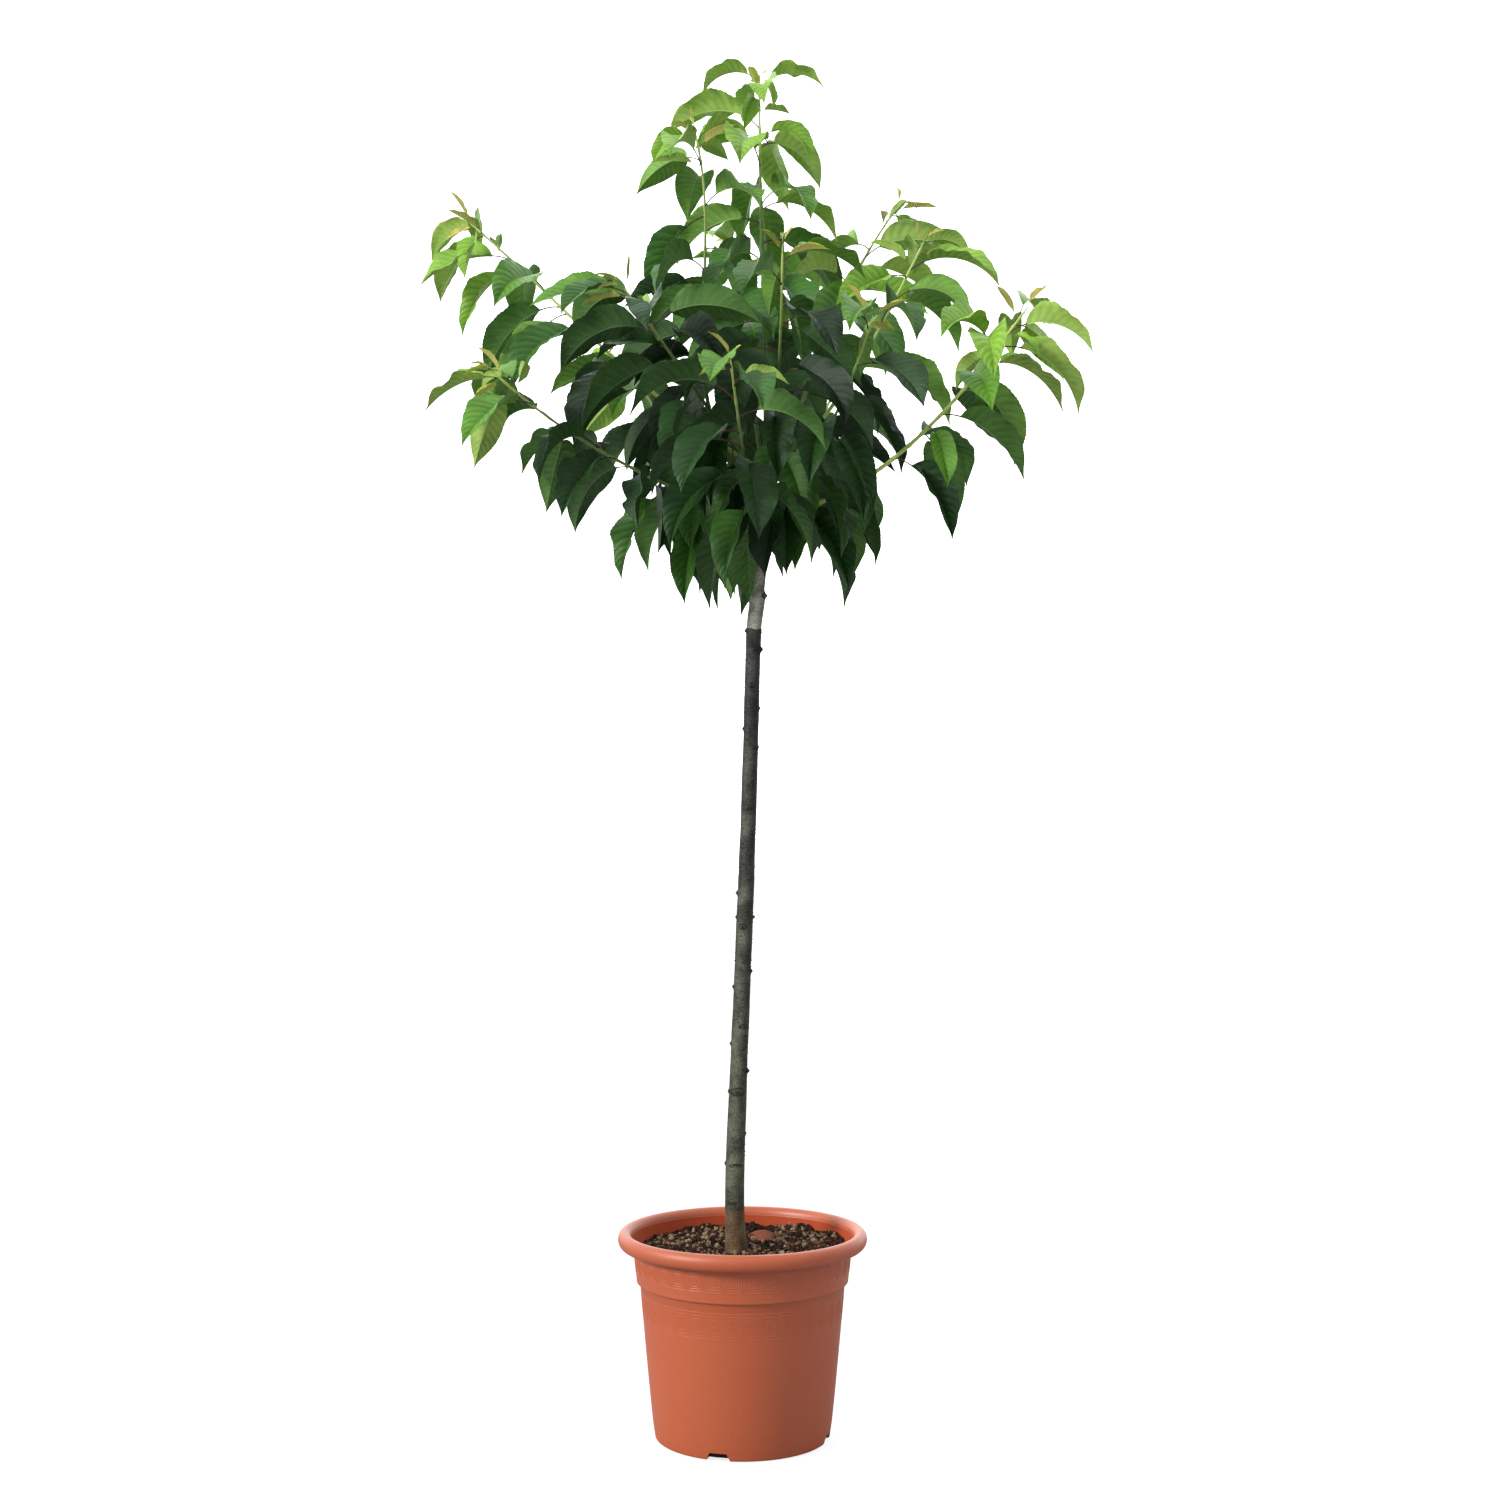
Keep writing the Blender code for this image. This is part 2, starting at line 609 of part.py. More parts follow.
def further_leaf(space, limb, name, seed):
    """One more leaf on a limb, drawn from its own seed, if it touches nothing."""
    rng = random.Random(seed)
    share = rng.uniform(*FURTHER_SHARES)
    root = limb.at(FIRST_LEAF + (limb.length - FIRST_LEAF - LAST_LEAF) * share)
    length = LEAF_LENGTH * table(SHOOT_SIZES, share) * rng.uniform(*FURTHER_SIZES)
    heading = rng.uniform(0, 360)
    lift = rng.uniform(*FURTHER_LIFT)
    droop = min(lift - LEAST_BEND, rng.uniform(*FURTHER_DROOP))
    leaf = Leaf(root, heading, lift, droop, length, rng.uniform(-FURTHER_ROLL, FURTHER_ROLL))
    return fit_leaf(space, name, leaf)


def set_leaf(space, limb, name, share, *shape):
    """One more leaf on a limb, set by hand, if it touches nothing."""
    root = limb.at(FIRST_LEAF + (limb.length - FIRST_LEAF - LAST_LEAF) * share)
    return fit_leaf(space, name, Leaf(root, *shape))


def fit_leaf(space, name, leaf):
    """The leaf as it stands, or nothing where it would touch something."""
    whole = leaf_solid(leaf, LEAF_CLEARANCE)
    outer = leaf_solid(leaf, LEAF_CLEARANCE, FREE_PETIOLE)
    if space.free(*whole, beside=name) and space.free(*outer):
        space.add(*leaf_solid(leaf))
        return leaf
    return None


def limb_space(feet, limbs):
    """What the stem and the limbs fill."""
    space = Space()
    space.add(*stem_tube())
    for foot in feet:
        space.add(*tube(*foot))
    for twig, limb in limbs.items():
        space.add(*tube(*limb), twig.name)
    return space


def grow(feet, limbs):
    """The leaves of each shoot and spur by name, where there is room for them."""
    space = limb_space(feet, limbs)
    leaves = {shoot.name: shoot_leaves(space, Line(limbs[shoot][0]), shoot) for shoot in SHOOTS}
    for spur in SPURS:
        leaves[spur.name] = spur_leaves(space, Line(limbs[spur][0]), spur)
    space = limb_space(feet, limbs)
    for name, grown in leaves.items():
        leaves[name] = [leaf for index, leaf in enumerate(grown) if index not in THINNED.get(name, ())]
        for leaf in leaves[name]:
            space.add(*leaf_solid(leaf))
    for twig, limb in limbs.items():
        line = Line(limb[0])
        found = [set_leaf(space, line, twig.name, *row) for row in SET_LEAVES.get(twig.name, ())]
        found += [further_leaf(space, line, twig.name, seed) for seed in FURTHER.get(twig.name, ())]
        leaves[twig.name] += [leaf for leaf in found if leaf]
    return leaves


# Assembly

def make_stem():
    """The stem, from a flat cut at the soil to its head."""
    mat = material("grey bark", (0.075, 0.068, 0.060), 0.85)
    return add_object("stem", solid(*stem_tube()), mat, smooth=60)


def make_bough(shoot, line):
    """The bare foot of a shoot, cut where it meets the stem."""
    foot = tube(*line.stretch(0.0, shoot.bare, shoot.radius, SHOOT_TIP_RADIUS))
    mat = material("green bark", (0.13, 0.17, 0.045), 0.7)
    bough = add_object("bough_" + shoot.name, solid(*foot), mat, smooth=60)
    if shoot.root <= HEAD_TOP:
        cut_by_stem(bough)
    return bough


def cut_by_stem(limb):
    """Trim the foot of a limb to just clear of the stem's surface."""
    cutter = add_object("stem_cutter", solid(*stem_tube(GAP)))
    cutter.hide_render = True
    cutter.display_type = "WIRE"
    apply_boolean(limb, "DIFFERENCE", cutter=cutter)


def make_mass(name, limb, leaves, colour, on_stem=False):
    """One mass of foliage: a limb and its leaves, joined into a single solid."""
    mass = add_object(name, solid(*tube(*limb)), material(name + " green", colour, 0.5))
    if on_stem:
        cut_by_stem(mass)
    sprigs = bpy.data.collections.new(name + " leaves")
    bpy.context.scene.collection.children.link(sprigs)
    for leaf in leaves:
        blade = add_object("leaf", solid(*leaf_solid(leaf)))
        bpy.context.collection.objects.unlink(blade)
        sprigs.objects.link(blade)
    apply_boolean(mass, "UNION", collection=sprigs)
    return mass


def make_crown():
    """All shoots and spurs: limbs first, then leaves where there is room for them."""
    shoots = [(shoot, Line(shoot_line(shoot))) for shoot in SHOOTS]
    spurs = [(spur, Line(spur_line(spur))) for spur in SPURS]
    feet = [line.stretch(0.0, shoot.bare, shoot.radius, SHOOT_TIP_RADIUS) for shoot, line in shoots]
    limbs = {}
    for shoot, line in shoots:
        make_bough(shoot, line)
        limbs[shoot] = line.stretch(shoot.bare + GAP, line.length, shoot.radius, SHOOT_TIP_RADIUS)
    for spur, line in spurs:
        limbs[spur] = line.stretch(0.0, line.length, SPUR_RADIUS, SHOOT_TIP_RADIUS)
    leaves = grow(feet, limbs)
    for shoot in SHOOTS:
        make_mass("foliage_" + shoot.name, limbs[shoot], leaves[shoot.name], (0.09, 0.21, 0.035))
    for spur in SPURS:
        make_mass(spur.name, limbs[spur], leaves[spur.name], (0.03, 0.10, 0.03), on_stem=True)


def main():
    clear_scene()
    make_pot()
    make_soil()
    make_stem()
    make_crown()


main()
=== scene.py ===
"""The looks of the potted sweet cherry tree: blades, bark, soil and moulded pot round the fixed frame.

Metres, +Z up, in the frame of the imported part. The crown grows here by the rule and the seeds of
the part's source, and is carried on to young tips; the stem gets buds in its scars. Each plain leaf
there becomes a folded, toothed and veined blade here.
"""

import math
import random
from collections import namedtuple

import bmesh
import bpy
import numpy as np
from mathutils import Matrix, Vector, noise
from mathutils.bvhtree import BVHTree
from mathutils.geometry import interpolate_bezier


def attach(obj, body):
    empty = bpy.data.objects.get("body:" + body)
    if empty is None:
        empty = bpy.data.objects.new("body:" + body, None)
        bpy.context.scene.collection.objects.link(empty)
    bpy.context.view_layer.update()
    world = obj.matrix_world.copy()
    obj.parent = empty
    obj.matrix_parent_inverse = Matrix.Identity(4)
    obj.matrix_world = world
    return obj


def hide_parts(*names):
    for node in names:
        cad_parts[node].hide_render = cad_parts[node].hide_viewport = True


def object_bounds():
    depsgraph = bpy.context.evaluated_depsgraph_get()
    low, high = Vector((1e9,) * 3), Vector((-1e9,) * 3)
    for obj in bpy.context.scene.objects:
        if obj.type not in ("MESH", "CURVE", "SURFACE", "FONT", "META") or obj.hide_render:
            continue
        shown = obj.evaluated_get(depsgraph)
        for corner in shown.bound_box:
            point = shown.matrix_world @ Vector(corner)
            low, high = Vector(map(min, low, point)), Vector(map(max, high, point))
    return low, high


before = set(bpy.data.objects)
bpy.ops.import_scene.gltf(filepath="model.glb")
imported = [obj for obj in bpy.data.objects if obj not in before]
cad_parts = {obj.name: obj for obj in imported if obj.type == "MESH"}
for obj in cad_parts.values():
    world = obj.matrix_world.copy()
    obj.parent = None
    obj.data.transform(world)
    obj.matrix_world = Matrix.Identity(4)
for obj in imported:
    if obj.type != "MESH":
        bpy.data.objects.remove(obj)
cad_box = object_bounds()

GAP = 0.0003
UP = Vector((0, 0, 1))

# Camera of the photo: place, tilt from straight down, lens and sensor in millimetres
CAMERA_PLACE = (0.0105, -2.95, 0.90)
CAMERA_TILT = math.radians(91.2)
CAMERA_LENS = 50.06
CAMERA_SENSOR = 36

# Light: a soft key from the left and a room that is brightest overhead; the camera sees both white
KEY_STRENGTH = 2.15
KEY_SOFTNESS = math.radians(14)
KEY_COLOUR = (1.0, 0.98, 0.94)
KEY_ASIDE = math.radians(60)    # from the camera's direction, to the left
KEY_RISE = math.radians(27)
ROOM_COLOUR = (0.94, 0.97, 1.0, 1)
ROOM_LOW = 0.40
ROOM_HIGH = 0.95
ROOM_BACK = 2.0                 # more light from the white backdrop behind the tree
ROOM_SEEN = 1.05
FLOOR_TONE = 0.28
FLOOR_SEEN = 0.80

# Pot
POT_SEGMENTS = 192
POT_HEIGHT = 0.2868
RIM_RADIUS = 0.175
ROLL_WIDE = 0.0094
ROLL_TALL = 0.0115
WALL = 0.003
FLOOR = 0.004
BASE_RADIUS = 0.1227
BODY_TOP_RADIUS = 0.1440
STEP_HEIGHT = 0.2153
STEP_RISE = 0.0025
COLLAR_RADIUS = 0.1488
COLLAR_TOP_RADIUS = 0.1535
LEDGE = 0.0040                  # sharp overhang of the collar above the step
COLLAR_TOP = POT_HEIGHT - 2 * ROLL_TALL
BODY_FLARE = 0.87
BASE_FILLET = 0.003
NOTCH_COUNT = 4
NOTCH_FIRST = math.radians(-105.5)
NOTCH_HEIGHT = 0.0105
NOTCH_WIDTH = 0.034
NOTCH_TAPER = 0.010
NOTCH_DEPTH = 0.022

# Moulded ornament: a band of squared spirals on the collar and a taller one under the step
KEY_COUNT = 36                  # spirals round the pot
KEY_UNITS = 7.5                 # one spiral's width, in line pitches
KEY_PATH = ((3, 5), (3, 3), (4.5, 3), (4.5, 6), (2, 6), (2, 2), (5.5, 2), (5.5, 7), (1, 7), (1, 1), (6.5, 1),
            (6.5, 8), (0, 8), (0, 0), (7.5, 0))
KEY_BANDS = ((0.2318, 0.0034, 0.00032), (0.1665, 0.0045, 0.00020))   # height of the foot, line pitch, relief
KEY_SUNK = 0.0004
KEY_STEP = 1.6                  # longest straight piece, in pitches
KEY_WIDE = 0.38                 # half a line's width at its foot, in pitches
KEY_NARROW = 0.08               # and at its top

# Soil
SOIL_TOP = 0.2560
SOIL_HEAP = 0.010
SOIL_HEAP_HEADING = math.radians(48)
SOIL_LEVEL_RADIUS = 0.032
SOIL_RINGS = 78
SOIL_SEGMENTS = 288

# Stem
HEAD_TOP = 1.372
STEM_STATIONS = (
    (SOIL_TOP + GAP, -0.0092, 0.0162),
    (0.285, -0.0104, 0.0146),
    (0.330, -0.0110, 0.0137),
    (0.480, -0.0065, 0.0127),
    (0.730, 0.0034, 0.0118),
    (0.948, 0.0109, 0.0109),
    (1.105, 0.0150, 0.0107),
    (1.138, 0.0163, 0.0121),
    (1.160, 0.0190, 0.0104),
    (1.192, 0.0238, 0.0088),
    (1.240, 0.0278, 0.0086),
    (1.300, 0.0308, 0.0092),
    (HEAD_TOP, 0.0332, 0.0078),
)
CAD_STEM_SIDES = 10
STEM_SIDES = 56
STEM_RINGS = (80, 8)            # the stem is cut up its length into 80 pieces, and each of these into 8
GRAFT = 1.133
GRAFT_SLANT = 0.0030
FLUTE = 0.0012
BARK_STATIONS = ((SOIL_TOP, 0.0164), (0.285, 0.0146), (0.330, 0.0137), (0.420, 0.0132), (0.480, 0.0127), (0.560, 0.0121),
                 (0.730, 0.0118), (0.850, 0.0112), (0.948, 0.0109), (1.090, 0.0107), (1.120, 0.0112), (GRAFT, 0.0114),
                 (GRAFT + 0.002, 0.0108), (1.168, 0.0111), (1.180, 0.0108), (1.192, 0.0080), (1.240, 0.0080),
                 (1.300, 0.0088), (HEAD_TOP, 0.0076))
Knob = namedtuple("Knob", "height heading wide high proud dimple")
PAINTED_LIGHT_HEADING = math.radians(256)    # painted light: the bark is painted paler on its front-left side, towards the key light, and darker round the rest
PAINTED_LIGHT_NARROW = 2.5
SCAR_RING = 1.2                  # how far out a scar's dark edge runs, of a knob's size
SCAR_NARROW = 0.34
SCAR_SUNK = 0.0003
BUD_WIDE = 0.0027
BUD_TALL = 0.0021
PORE_COUNT = 120
PORE_SIZES = (0.0005, 0.0013)
KNOBS = (
    Knob(1.180, -20, 0.0060, 0.0034, 0.0030, 0.3),
    Knob(1.131, 196, 0.0042, 0.0030, 0.0032, 0.0),
    Knob(1.104, -12, 0.0040, 0.0034, 0.0044, 0.3),
    Knob(1.052, 262, 0.0040, 0.0022, 0.0010, 0.4),
    Knob(1.021, -6, 0.0032, 0.0024, 0.0018, 0.2),
    Knob(0.992, 185, 0.0030, 0.0024, 0.0026, 0.2),
    Knob(0.966, -28, 0.0066, 0.0028, 0.0022, 0.5),
    Knob(0.880, 268, 0.0044, 0.0030, 0.0012, 0.7),
    Knob(0.814, -50, 0.0036, 0.0024, 0.0018, 0.6),
    Knob(0.760, 180, 0.0032, 0.0030, 0.0034, 0.2),
    Knob(0.726, 178, 0.0052, 0.0022, 0.0022, 0.2),
    Knob(0.726, 0, 0.0052, 0.0024, 0.0026, 0.2),
    Knob(0.713, 256, 0.0044, 0.0034, 0.0012, 0.8),
    Knob(0.650, -10, 0.0034, 0.0026, 0.0030, 0.3),
    Knob(0.628, 182, 0.0030, 0.0024, 0.0026, 0.2),
    Knob(0.573, -55, 0.0070, 0.0022, 0.0014, 0.5),
    Knob(0.548, 183, 0.0030, 0.0026, 0.0026, 0.2),
    Knob(0.510, -16, 0.0036, 0.0036, 0.0038, 0.3),
    Knob(0.481, 268, 0.0085, 0.0040, 0.0016, 0.8),
    Knob(0.481, 184, 0.0040, 0.0028, 0.0022, 0.2),
    Knob(0.422, -8, 0.0030, 0.0024, 0.0016, 0.2),
    Knob(0.378, 276, 0.0080, 0.0018, 0.0014, 0.9),
    Knob(0.380, 184, 0.0034, 0.0026, 0.0022, 0.2),
    Knob(0.326, 250, 0.0050, 0.0022, 0.0010, 0.5),
)

# Shoots and spurs, as in the part's source
Shoot = namedtuple("Shoot", "name root heading reach top launch finish swing radius bare leaves seed")
SHOOTS = (
    Shoot("leader", HEAD_TOP + GAP, 114, 0.022, 1.949, 90, 91, 0, 0.0062, 0.045, 18, 258),
    Shoot("left_leader", 1.318, 205, 0.118, 1.855, 30, 68, 0, 0.0055, 0.060, 16, 212),
    Shoot("upright_front", 1.338, 275, 0.241, 1.640, 22, 88, 2, 0.0048, 0.055, 11, 184),
    Shoot("right_upper", 1.330, 31, 0.250, 1.790, 62, 48, 2, 0.0052, 0.060, 13, 158),
    Shoot("right_middle", 1.326, -24, 0.250, 1.680, 40, 62, -12, 0.0058, 0.055, 13, 188),
    Shoot("right_low", 1.290, -29, 0.416, 1.566, 6, 50, 6, 0.0060, 0.060, 15, 153),
    Shoot("left_middle", 1.332, 227, 0.298, 1.586, 44, 38, -8, 0.0046, 0.060, 12, 186),
    Shoot("far_left", 1.356, 172, 0.456, 1.748, 30, 40, 6, 0.0055, 0.065, 15, 252),
    Shoot("left_low", 1.276, 203, 0.415, 1.484, 22, 42, -8, 0.0050, 0.060, 14, 123),
    Shoot("back_upper", 1.341, 100, 0.270, 1.770, 50, 64, 0, 0.0047, 0.060, 13, 254),
    Shoot("back_right", 1.308, 72, 0.400, 1.580, 24, 44, -8, 0.0052, 0.060, 14, 100),
    Shoot("back_left", 1.300, 128, 0.390, 1.610, 24, 48, -8, 0.0052, 0.060, 14, 96),
    Shoot("back_low", 1.262, 88, 0.330, 1.450, 12, 40, 0, 0.0046, 0.055, 12, 64),
    Shoot("front_low", 1.270, 262, 0.330, 1.470, 8, 46, 0, 0.0048, 0.055, 12, 147),
    Shoot("front_right", 1.304, 299, 0.300, 1.540, 16, 58, 3, 0.0048, 0.060, 11, 23),
)
Spur = namedtuple("Spur", "name root heading length rise leaves seed")
SPURS = (
    Spur("spur_front", 1.319, 286, 0.080, 12, 6, 36),
    Spur("spur_front_left", 1.298, 232, 0.080, 25, 6, 198),
    Spur("spur_left", 1.290, 158, 0.085, 30, 6, 77),
    Spur("spur_right", 1.268, 16, 0.085, 30, 6, 25),
    Spur("spur_back", 1.290, 48, 0.080, 30, 6, 281),
)
LIMB_SIDES = 5
LIMB_RING = 0.065
SHOOT_POINTS = 60
SPUR_POINTS = 20
HANDLE = 0.36
SHOOT_TIP_RADIUS = 0.0018
SPUR_RADIUS = 0.0036
SPUR_TURN_UP = 15
LEAF_LENGTH = 0.138
LEAF_WIDTH = 0.47
LEAF_THICKNESS = 0.0125
LEAF_FOLD = math.radians(20)
PETIOLE = 0.25
PETIOLE_RADIUS = 0.0105
PETIOLE_RISE = 12
BLADE_RINGS = ((0.18, 0.74), (0.47, 1.0), (0.78, 0.64), (1.0, 0.0))
BLADE_STEPS = 5
BLADE_BEND = 0.85
FIRST_LEAF = 0.012
LAST_LEAF = 0.006
CROWDING = 0.93
LEAF_TURN = 144
TURN_SPREAD = 14
LEAN_ALONG = 0.75
LEAN_UP = 0.1
SHOOT_SIZES = ((0.0, 0.94), (0.4, 1.0), (0.75, 0.95), (0.88, 0.80), (0.95, 0.58), (1.0, 0.34))
SIZE_CHANCE = (0.88, 1.05)
LIFT_FOOT = -38
LIFT_GAIN = 52
LIFT_FOLLOWS = 0.45
LIFT_SPREAD = 10
LIFT_MOST = 48
DROOP_FOOT = -88
DROOP_GAIN = 46
DROOP_CHANCE = (-8, 12)
LEAST_BEND = 20
ROLL_FOOT = 62
ROLL_LOSS = 36
SPUR_FAN = 260
SPUR_LEAFY = (0.32, 0.64)
SPUR_SIZES = (0.84, 1.04)
SPUR_LIFT = -18
SPUR_LIFT_GAIN = 22
SPUR_LIFT_SPREAD = 12
SPUR_DROOP = -84
SPUR_DROOP_CHANCE = (-6, 8)
SPUR_ROLL = 55
LEAF_CLEARANCE = 0.0022
LEAF_TRIES = 14
TRY_SWING = 13
TRY_SINK = 4
LOWEST_DROOP = -93
FREE_PETIOLE = 0.5

# After all these, leaves that stand where the photo shows gaps are left out, by their order on the limb,
# and further ones are added where it shows leaves, each drawn from a seed of its own
THINNED = {
    "leader": (14, 16), "left_leader": (10,), "right_upper": (10,), "right_middle": (7,),
    "right_low": (1, 2, 3, 6), "far_left": (12,), "left_low": (7, 8), "back_low": (2,), "front_right": (5, 6),
    "spur_right": (3, 4), "spur_back": (0,),
}
FURTHER_SHARES = (0.06, 0.97)
FURTHER_SIZES = (0.5, 1.04)
FURTHER_LIFT = (-42, 34)
FURTHER_DROOP = (-96, -22)
FURTHER_ROLL = 68
FURTHER = {
    "leader": (889, 1640, 150, 968, 1560, 432, 20), "left_leader": (350, 876, 81, 302, 332, 866),
    "upright_front": (312, 1338), "right_upper": (106, 316, 1152),
    "right_middle": (487, 1031, 611, 1323), "right_low": (797, 980, 1096, 1139, 1247, 517, 68),
    "left_middle": (106, 785, 727), "far_left": (1411, 822, 1666, 417, 1475, 1263),
    "left_low": (477, 1331, 1341, 856, 1024, 647, 1536), "back_left": (202,),
}

# Leaves given one by one: how far up the leafy part, heading, lift, droop, length of the blade, roll
SET_LEAVES = {
    "leader": (
        (0.938, 352, 32, -50, 0.087, -12),
        (0.956, 187, 24, -66, 0.080, 12),
        (0.972, 325, -50, -86, 0.046, 0),
    ),
    "right_low": ((0.475, 292, -42, -88, 0.088, 15),),
}

# Young leaves at each shoot's tip
TIP_SHARES = (0.0, 0.012, 0.035, 0.06, 0.10)      # back from the tip, of the shoot's length
TIP_LENGTHS = (0.032, 0.044, 0.052, 0.058, 0.064)
TIP_LEAST = 0.014               # a tip leaf with less room than this is left out
TIP_FROM = 0.95                 # the plain leaf past this share gives way to the young ones
TIP_TAPER = 0.012
TIP_CUT = 0.022                 # the young leaves reach on to the plain shoot's tip
SHOOT_SLIM = 0.64
CROWN_MIDDLE = 0.033            # of its width
CROWN_TOP = 1.944
TOP_LEAVES = 1.900              # leaves above this arch a little lower than the plain ones
TOP_SINK = 4
INSIDE = 0.0004                 # a ruffle never stands out of the plain solids' box

# The fine blade
BLADE_ROWS = 60
BLADE_COLUMNS = (-1, -0.76, -0.42, -0.05, 0, 0.05, 0.42, 0.76, 1)
BLADE_STATIONS = 97
BLADE_OUTLINE = ((0, 0.02), (0.02, 0.22), (0.06, 0.47), (0.13, 0.75), (0.22, 0.93), (0.34, 1.0), (0.48, 0.98),
                 (0.61, 0.88), (0.72, 0.70), (0.82, 0.45), (0.89, 0.23), (0.94, 0.10), (0.975, 0.04), (1, 0.006))
VEINS = 12
VEIN_SLANT = 0.17               # how far a side vein reaches forward, of the blade's length
VEIN_DEPTH = 0.0072             # of the blade's length
TOOTH = 0.030                   # of the half width
RUFFLE = 0.13
BLADE_THIN = 0.0020             # thickness, of the blade's length
MIDRIB_DEEP = 0.009
BLADE_SWAY = 13                 # how far a blade curves aside, in degrees
BLADE_TWIST = 24
YOUNG_WIDTH = 0.52              # of an old blade's width
YOUNG_FOLD = 34
STALK_SIDES = 7
STALK_RINGS = 9
STALK_RADIUS = 0.0074           # of the blade's length


# Small helpers

def deselect():
    """Leave nothing selected, so that an operator acts on the new thing alone."""
    bpy.ops.object.select_all(action="DESELECT")


def table(stations, at):
    """Read a value between the stations of a short table of (place, value)."""
    for (a, low), (b, high) in zip(stations, stations[1:]):
        if at <= b:
            return low + (high - low) * max(0.0, at - a) / (b - a)
    return stations[-1][1]


def smooth(places, values, at):
    """Read a smooth curve through the stations that never swings past them."""
    places = np.asarray(places, float)
    values = np.asarray(values, float)
    climbs = np.diff(values) / np.diff(places)
    before, after = climbs[:-1], climbs[1:]
    same_way = before * after > 0
    inner = np.where(same_way, 2 * before * after / np.where(same_way, before + after, 1), 0)
    slopes = np.concatenate((climbs[:1], inner, climbs[-1:]))
    at = np.clip(at, places[0], places[-1])
    index = np.clip(np.searchsorted(places, at) - 1, 0, len(places) - 2)
    span = places[index + 1] - places[index]
    share = (at - places[index]) / span
    low = (1 + 2 * share) * (1 - share) ** 2 * values[index] + share * (1 - share) ** 2 * span * slopes[index]
    high = share ** 2 * (3 - 2 * share) * values[index + 1]
    return low + high + share ** 2 * (share - 1) * span * slopes[index + 1]


def unit(rows):
    """Each row of an array at length 1."""
    return rows / np.linalg.norm(rows, axis=-1, keepdims=True)


def ride(obj, slot_name, *stands_for):
    """Fix a finished piece to the frame and hide the solids it stands for; the slot name is not used."""
    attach(obj, "root")
    if stands_for:
        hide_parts(*stands_for)
    return obj


class Heap:
    """Many small closed shapes, joined into one mesh."""

    def __init__(self):
        self.verts = []
        self.faces = []
        self.finishes = []
        self.marks = []
        self.count = 0

    def add(self, verts, faces, finishes=0, marks=None):
        """Put in one shape: its faces' finish numbers, and a mark in 0 to 1 by 0 to 1 for each vertex."""
        if isinstance(faces, np.ndarray):
            self.faces.extend((faces + self.count).tolist())
        else:
            self.faces.extend([[i + self.count for i in face] for face in faces])
        self.verts.append(np.asarray(verts, float))
        self.finishes.append(np.broadcast_to(np.asarray(finishes), (len(faces),)))
        self.marks.append(np.zeros((len(verts), 2)) if marks is None else marks)
        self.count += len(verts)

    def piece(self, name, materials, sharp=50):
        """The joined mesh as an object."""
        mesh = bpy.data.meshes.new(name)
        mesh.from_pydata(np.concatenate(self.verts).tolist(), [], self.faces)
        for mat in materials:
            mesh.materials.append(mat)
        mesh.polygons.foreach_set("material_index", np.concatenate(self.finishes).astype(np.int32))
        corners = np.empty(len(mesh.loops), np.int32)
        mesh.loops.foreach_get("vertex_index", corners)
        layer = mesh.uv_layers.new(name="marks")
        layer.data.foreach_set("uv", np.concatenate(self.marks)[corners].astype(np.float32).ravel())
        mesh.shade_smooth()
        mesh.set_sharp_from_angle(angle=math.radians(sharp))
        mesh.validate()
        obj = bpy.data.objects.new(name, mesh)
        bpy.context.scene.collection.objects.link(obj)
        return obj


# Shader nodes

def node(tree, kind, feeds=None, **settings):
    """Add a node, with its settings and what feeds its inputs: values or other nodes' outputs."""
    made = tree.nodes.new("ShaderNode" + kind)
    for key, value in settings.items():
        setattr(made, key, value)
    for key, value in (feeds or {}).items():
        if isinstance(value, bpy.types.NodeSocket):
            tree.links.new(value, made.inputs[key])
        else:
            made.inputs[key].default_value = value
    return made


def maths(tree, operation, a, b=0.0, c=0.0):
    """One sum on two or three values."""
    return node(tree, "Math", {0: a, 1: b, 2: c}, operation=operation).outputs[0]


def mix(tree, share, a, b, blend="MIX"):
    """Mix two colours by a share."""
    return node(tree, "Mix", {0: share, 6: a, 7: b}, data_type="RGBA", blend_type=blend).outputs[2]


def ramp(tree, value, low, high, to_low=0.0, to_high=1.0):
    """Carry a value from one range to another, held at the ends."""
    return node(tree, "MapRange", {0: value, 1: low, 2: high, 3: to_low, 4: to_high}).outputs[0]


def colour(red, green, blue):
    """A colour from its 8-bit sRGB values."""
    def linear(value):
        value /= 255
        return value / 12.92 if value <= 0.04045 else ((value + 0.055) / 1.055) ** 2.4
    return (linear(red), linear(green), linear(blue), 1)


def new_group(name, inputs, outputs):
    """An empty node group with named sockets, and its two end nodes."""
    group = bpy.data.node_groups.new(name, "ShaderNodeTree")
    for label, kind, value in inputs:
        socket = group.interface.new_socket(label, in_out="INPUT", socket_type="NodeSocket" + kind)
        if value is not None:
            socket.default_value = value
    for label, kind in outputs:
        group.interface.new_socket(label, in_out="OUTPUT", socket_type="NodeSocket" + kind)
    start = group.nodes.new("NodeGroupInput")
    end = group.nodes.new("NodeGroupOutput")
    return group, start, end


def place_group(tree, group, feeds):
    """Use a group in a material."""
    made = node(tree, "Group", node_tree=group)
    for key, value in feeds.items():
        if isinstance(value, bpy.types.NodeSocket):
            tree.links.new(value, made.inputs[key])
        else:
            made.inputs[key].default_value = value
    return made


def blank(name, roughness, **sockets):
    """A material with only its shader, whose even values sit on the shader's own sockets."""
    mat = bpy.data.materials.new(name)
    mat.use_nodes = True
    shader = mat.node_tree.nodes["Principled BSDF"]
    shader.inputs["Roughness"].default_value = roughness
    for key, value in sockets.items():
        shader.inputs[key.replace("_", " ")].default_value = value
    return mat, mat.node_tree, shader


